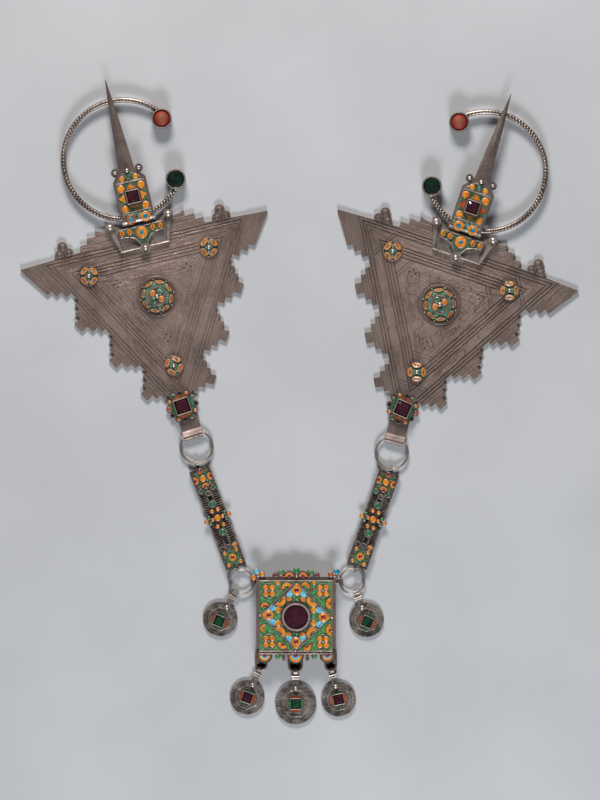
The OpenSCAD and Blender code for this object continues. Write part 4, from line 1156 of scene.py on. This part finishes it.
for side, strap in STRAPS.items():
    low = strap @ bench(0, LOWER_PLAQUES[side])
    cross = strap @ bench(0, CROSS_UP[side])
    shade_sheet_length = -LOWER_PLAQUES[side] - 15
    # Painted shade: a black sheet under the pierced work darkens its gaps.
    settle("strap_backing_" + side, [
        (backing, [strap @ at(0, CROSS_UP[side], 1, 14.6, 0.38, wide=shade_sheet_length)])],
        shade_black)
    cells("strap_orange_" + side, [
        (drop, [strap @ at(0, 0, 4.9, 2.4, 1)] + beads(cross, ORANGE_BEADS)
         + [low @ at(x, y, 4.7, 1.4, 0.9) for x in (-4.8, 4.8) for y in (-4.8, 4.8)]
         + [low @ at(5, 8.7, 4.1, 2, 0.7)]),
        (crescent, [strap @ q @ at(0, 6.7, 4.75, 3.1, 1.2, 180) for q in QUARTERS[1:]]),
        (band, [low @ at(0, 0, 4.95, 3.1, 1)])], orange)
    cells("strap_burnt_" + side, [(crescent, [strap @ at(0, 6.7, 4.75, 3.1, 1.2, 180)])], burnt)
    cells("strap_green_" + side, [
        (drop, beads(cross, GREEN_BEADS) + [strap @ at(x, -8.9, 4.1, 1.9, 0.7) for x in (-5, 5)]),
        (crescent, [low @ q @ at(0, 6.5, 4.4, 2.1, 1, 180) for q in QUARTERS]),
        (petal, [strap @ bench(0, 0, 45 + 90 * i) @ at(4.9, 0, 4.3, 1.9, 0.6, wide=2.2)
                 for i in range(4)])], green)
    cells("strap_magenta_" + side, [
        (drop, [strap @ q @ at(0, 7, 4.5, 1.6, 0.8, wide=0.9) for q in QUARTERS]
         + [low @ at(0, 0, 4.85, 1.3, 0.9)])], magenta)
    settle("strap_wires_" + side, [
        (large_rim, [cross @ at(0, y, 5.3, 1) for y in (-11.5, 11.5)]),
        (small_rim, [strap @ at(x, y, 4.3, 1) for x, y in ((-5, -8.9), (0, -12.2), (5, -8.9))]
         + [low @ at(x, 8.7, 4.3, 1) for x in (-5, 0, 5)])],
        bright)
print("straps dressed:", len(STRAPS))

# %% [markdown]
# The lid of the box is the richest piece. A diamond of silver wire divides it. Inside stand
# the round stone, eight orange discs, of which four have gone dull, four crescents, and at
# each corner of the diamond a pointed eye between two turquoise fields. Outside are four
# flowers and more crescents.

# %% The lid of the amulet box: orange and turquoise
LID = FACE_FLOOR
FLOWERS = [(-21, 21), (21, 21), (21, -19), (-21, -18.6)]
# One row for each pointed eye: across, up, and the way it points
EYES = [(0.5, 21.2, 0), (21.2, 0.4, -90), (0, -18.8, 180), (-21.2, 2, 90)]
# Crescents on the lid: across, up, turn, radius
CRESCENTS = [
    (-12.7, 14, -135, 4.6), (13.2, 13.6, 135, 4.6), (-13, -12.2, -45, 4.6), (13, -12.6, 45, 4.6),
    (-7.2, 23.4, 20, 3.6), (7.2, 23.8, -20, 3.4), (-24.2, 8.6, 10, 3), (27.2, 10.9, 90, 3.9),
    (27.2, -9.6, 90, 3.9), (-10.3, -20.6, 150, 3.4), (8.4, -22.2, 200, 3.2), (-24.6, -8.6, 70, 3),
]
SIDE_DISCS = [(13.8, 6.1), (-14, 6.1), (-14, -4.3), (13.9, -4.4)]
DULL_DISCS = [(5.5, 14.3), (-5.3, 14.4), (-5.8, -12.9), (5, -13)]
BESIDE_EYE = [(-3.3, 2.4), (-7.6, -1.9), (-8, -4.6), (-5.0, -6.0), (-2.9, -3.4)]


def around(x, y, reach, count, start):
    """Places in the plane, evenly round a middle."""
    turns = [math.radians(start + i * 360 / count) for i in range(count)]
    return [(x + reach * math.cos(turn), y + reach * math.sin(turn)) for turn in turns]


flower_discs = [spot for x, y in FLOWERS for spot in around(x, y, 3.5, 4, 45)]
beside_eye = field(BESIDE_EYE, 0.8)
lid = AMULET_BOX @ Matrix.Translation((0, 0, LID))
eye_places = [lid @ bench(*spot) for spot in EYES]
cells("box_orange", [
    (drop, [lid @ at(x, y, 0, 2.15, 1.1) for x, y in flower_discs]
     + [lid @ at(x, y, 0, 2.4, 1) for x, y in SIDE_DISCS]
     + [lid @ at(x, 27.2, 0, 1.7, 0.7) for x in (-14, 14)]),
    (eye, [place @ at(0, 0, 0.6, 3.95, 1.3) for place in eye_places]),
    (broad_crescent, [lid @ at(x, y, 0.5, 1.14 * radius, 1.1, turn)
                      for x, y, turn, radius in CRESCENTS]),
], orange)
cells("box_dull_orange", [(drop, [lid @ at(x, y, 0, 2.3, 1) for x, y in DULL_DISCS])], dull_orange)
cells("box_turquoise", [
    (beside_eye, [place @ flip for place in eye_places for flip in (Matrix.Identity(4), FLIP)])],
    turquoise)
print("orange discs:", len(flower_discs) + len(SIDE_DISCS) + len(DULL_DISCS),
      " turquoise fields:", 2 * len(eye_places))

# %% [markdown]
# The diamond's four bars are notched along their length, like a twisted wire, and a thin
# smooth wire runs on both sides of each. Magenta dots lie in the eyes and in the crescents.
# Small silver balls stand at corners of the diamond, beside the stone and in the flowers.

# %% The lid: magenta dots, green leaves, wires and balls
MAGENTA_DOTS = [(-12.8, 14.3), (13.4, 13.6), (-13.1, -12), (13.4, -12.2), (-11.8, 22), (12.2, 21.9),
                (-24.2, 8.9), (28, 10.9), (27.6, -9.8), (-10.3, -21), (8, -22.6), (-7.6, -24.9),
                (11.7, -20.4)]
LEAVES = [(-12.4, 13.6, 45), (12.9, 13.2, -45), (-12.7, -11.9, -45), (12.7, -12.3, 45)]
LID_BALLS = [(-28.1, 1.6), (28, -0.4), (-0.4, -26.1), (0.9, 13.4), (0.4, -12.6)]
DIAMOND = [(0, 27.2), (26.4, 0.9), (0, -24.9), (-26.4, 1.7)]
# The diamond drawn a little smaller and a little larger, for the wires beside its bars
DIAMOND_GROWN = (0.955, 1.045)
NOTCHES = 48
BORDER_ACROSS, BORDER_TOP, BORDER_BOTTOM = 28.3, 28.7, -28.2
begin(bpy.ops.mesh.primitive_grid_add, x_subdivisions=NOTCHES, y_subdivisions=1, size=1)
bpy.ops.transform.translate(value=(0.5, 0, 0.7))
pick(lambda spot: round(spot.x * NOTCHES) % 2 == 1)
bpy.ops.transform.translate(value=(0, 0, 0.18))
bpy.ops.mesh.select_all(action="SELECT")
bpy.ops.mesh.extrude_region_move(TRANSFORM_OT_translate={"value": (0, 0, -0.7)})
notched = keep_die("notched", 20)
glass_rim = rim(10.25, 0.7)
flower_rim = rim(5.8, 0.36)
settle("box_diamond", [
    (notched, [lid @ rod(DIAMOND[i], DIAMOND[(i + 1) % 4], 0, 1.5, 0.9) for i in range(4)])],
    cross_silver)
cells("box_magenta", [
    (drop, [lid @ at(x, y, 0.1, 1.05, 1.1) for x, y in MAGENTA_DOTS]
     + [place @ at(0, 0, 0.3, 1.45, 1) for place in eye_places])], magenta)
settle("box_leaves", [
    (petal, [lid @ at(x, y, 0, 4.4, 0.9, turn, wide=3.4) for x, y, turn in LEAVES])], green)
settle("box_balls", [
    (grain, [lid @ at(x, y, 0, 0.95) for x, y in LID_BALLS] + [lid @ at(0.4, 31.9, -1.4, 1)]
     + [lid @ at(x, y, 0, 0.75) for x, y in FLOWERS])],
    bright)
settle("box_wires", [
    (flower_rim, [lid @ at(x, y, 0.55, 1) for x, y in FLOWERS])], bright)
settle("box_collar", [(glass_rim, [lid @ at(0, 0.5, 2.4, 1)])], collar_silver)
border = [rod((-28.4, y), (28.4, y), 0.1, 0.45) for y in (BORDER_TOP, FACE_LOW, BORDER_BOTTOM)]
border += [rod((x, FACE_LOW), (x, BORDER_TOP), 0.1, 0.45)
           for x in (-BORDER_ACROSS, BORDER_ACROSS)]
grown = [[(grow * x, grow * y) for x, y in DIAMOND] for grow in DIAMOND_GROWN]
border += [rod(corners[i], corners[(i + 1) % 4], 0.78, 0.32) for i in range(4)
           for corners in grown]
settle("box_border", [(bar, [lid @ place for place in border])], edge_silver)
print("magenta dots:", len(MAGENTA_DOTS) + len(EYES))

# %% [markdown]
# Three round tabs hang below the lid, each a half circle of turquoise inside one of orange.
# Above the box runs a small cresting. Three balls of enamel sit at its left corner, and two
# at its right.

# %% Tabs, cresting and corner balls
# Across and radius of each tab
TABS = [(-24.5, 4.5), (-0.3, 5.4), (24.5, 4.5)]
TAB_UP = -29.4
CRESTING = 10
ARCHES = (-5.2, 5.4)
back = AMULET_BOX @ Matrix.Translation((0, 0, CRESTING))
cells("edge_orange", [
    (crescent, [lid @ at(x, TAB_UP, 0.25, radius, 1.1, 180) for x, radius in TABS]
     + [back @ at(x, 31.7, 0.4, 3.5, 1.3) for x in ARCHES]),
    (drop, [back @ at(x, y, 1.2, 1.95, 1.6) for x, y in ((-26.4, 33.8), (-33, 31))])], orange)
cells("edge_turquoise", [
    (crescent, [lid @ at(x, TAB_UP, 0.3, 0.68 * radius, 1.1, 180) for x, radius in TABS]),
    (drop, [back @ at(-30.8, 36, 1.2, 2.1, 1.6)])], turquoise)
cells("edge_magenta", [
    (drop, [lid @ at(x, TAB_UP - 0.2, 0.1, 1.4, 1) for x, radius in TABS]
     + [back @ at(x, 33, 0, 1.35, 1) for x in (-16, -9.9, 10.4, 16.3)]
     + [back @ at(x, 32.3, 0, 1.4, 1) for x in ARCHES])], magenta)
cells("edge_green", [
    (drop, [back @ at(x, 34.6, 0, 2.2, 0.9) for x in (-11.5, 11.6)]
     + [lid @ at(x, -30.6, -0.4, 1.6, 0.9) for x in (-14.3, 14.2)]
     + [back @ at(0.4, 36.5, 0, 2.2, 1.6)])], bright_green)
cells("edge_teal", [(drop, [back @ at(31.5, 35.5, 1.2, 2.1, 1.6)])], teal)
cells("edge_rust", [(drop, [back @ at(27, 33.4, 1.2, 1.9, 1.7)])], rust)
print("tabs:", len(TABS))

# %% [markdown]
# Each coin carries a square stone in a round collar. The four slices between them are
# enamelled green and red-orange, and on two of the coins the colours have changed places.
# The strap that holds a coin is folded over its loop and riveted to it. Behind each loop under
# the box lies a black sheet of painted shade.

# %% The coins
coin_slice = segment(4.8, 6.4, 0.3)
coin_rim = rim(6.8, 0.3)
BAIL_TOP = 2.7
# Distance of each drop's rivet from its eye
RIVETS = {"side_l": 13.4, "side_r": 12.7, "left": 13.4, "middle": 13.3, "right": 12.9}
# The colours above and beside the stone of each coin
SLICE_FINISHES = {
    "side_l": (green, rust), "side_r": (rust, green), "left": (green, rust),
    "middle": (rust, green), "right": (green, rust),
}
# Loops under the box: across, up, radius
LOOPS = [(-27, -37, 4), (-0.5, -37.5, 5), (27, -37.6, 4)]
for name, (hook, down, low, turn) in DROPS.items():
    stone = hook @ bench(0, -down - low, turn)
    for finish, turns in zip(SLICE_FINISHES[name], ((0, 180), (90, 270))):
        places = [stone @ bench(0, 0, quarter) @ at(0, 0, 2.75, 1) for quarter in turns]
        colour = finish.material.name.split("_")[0]
        settle(f"coin_{colour}_{name}", [(coin_slice, places)], finish)
    settle("coin_edge_" + name, [
        (bar, [stone @ place for place in square_edge(0, 0, 5.35, 4.2, 0.34)]),
        (coin_rim, [stone @ at(0, 0, 2.85, 1)])], edge_silver)
    settle("coin_bail_" + name, [
        (bar, [hook @ rod((-3, -3.6), (3, -3.6), BAIL_TOP - 0.5, 1, 1),
               hook @ rod((-2.8, -5.5), (2.8, -5.5), BAIL_TOP - 0.1, 0.6)])],
        wire_silver)
    settle("coin_rivet_" + name, [(grain, [hook @ at(0, -RIVETS[name], COIN_TOP + 1.1, 1.75)])],
           bright)
# Painted shade: a black sheet fills each loop under the box.
settle("loop_backs", [
    (drop, [AMULET_BOX @ at(x, y, 0.3, radius - 0.8, 0.5) for x, y, radius in LOOPS])],
    shade_black)
for die in dies:
    bpy.data.objects.remove(die)
print("coins dressed:", len(DROPS))

# %% [markdown]
# The photo was taken from straight above, over a pale table. A long lens far away keeps the
# jewel free of distortion. A warm panel beyond the top edge and a cooler one before the lower
# edge shine across the metal, so every raised cell has a soft shadow on both sides.

# %% Table, lights and camera
TABLE_SIDE = 14
bpy.ops.mesh.primitive_plane_add(size=1)
table = bpy.context.object
table.name = "table"
table.data.transform(Matrix.Diagonal((TABLE_SIDE, TABLE_SIDE, 1, 1)))
paper = Finish("pale_paper")
mottle = paper.clouds(paper.spot(), 140, 3)
paper.shine(base_color=paper.blend(mottle.fade(0.3, 0.7), tone(185, 186, 189),
                                   tone(193, 194, 197)), roughness=0.95)
table.data.materials.append(paper.material)
table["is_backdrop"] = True


def panel_light(name, spot, watts, colour):
    """A soft panel, turned towards the jewel, that the camera doesn't see."""
    bpy.ops.object.light_add(type="AREA", location=spot)
    lamp = bpy.context.object
    lamp.name = name
    lamp.data.shape = "RECTANGLE"
    lamp.data.size, lamp.data.size_y = PANEL_SIZE
    lamp.data.energy = watts
    lamp.data.color = colour
    lamp.rotation_euler = (-Vector(spot)).to_track_quat("-Z", "Y").to_euler()
    lamp.visible_camera = False


PANEL_SIZE = (0.75, 0.45)
panel_light("top_panel", (-0.18, 1.68, 1.05), 39, (1, 0.97, 0.94))
panel_light("low_panel", (0.15, -1.65, 1.02), 31, (0.93, 0.97, 1))
SKY_COLOUR, SKY_STRENGTH = (0.9, 0.95, 1, 1), 0.11
world = bpy.data.worlds.new("studio")
world.use_nodes = True
sky = world.node_tree.nodes["Background"]
sky.inputs[0].default_value = SKY_COLOUR
sky.inputs[1].default_value = SKY_STRENGTH
bpy.context.scene.world = world
bpy.context.scene.view_settings.view_transform = "Standard"

PHOTO_HEIGHT = 0.624
PHOTO_MIDDLE = (0.0005, 0.0018)
LENS = 250
SENSOR = 36
distance = PHOTO_HEIGHT * LENS / SENSOR
bpy.ops.object.camera_add(location=(*PHOTO_MIDDLE, distance), rotation=(0, 0, 0))
camera = bpy.context.object
camera.data.lens = LENS
camera.data.sensor_width = SENSOR
camera.data.clip_end = 20
bpy.context.scene.camera = camera
print("camera height:", round(distance, 2), "m")

# %% [markdown]
# The sizes of the bare solids and of the dressed jewel are written down side by side. They
# hardly differ, because the enamel and the wires lie inside the outline of the metal.

# %% Sizes of the bare and the dressed jewel
dressed_low, dressed_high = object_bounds()
growth = (dressed_high - dressed_low) - (solid_high - solid_low)
print("grown by", [round(1000 * length, 2) for length in growth], "mm")
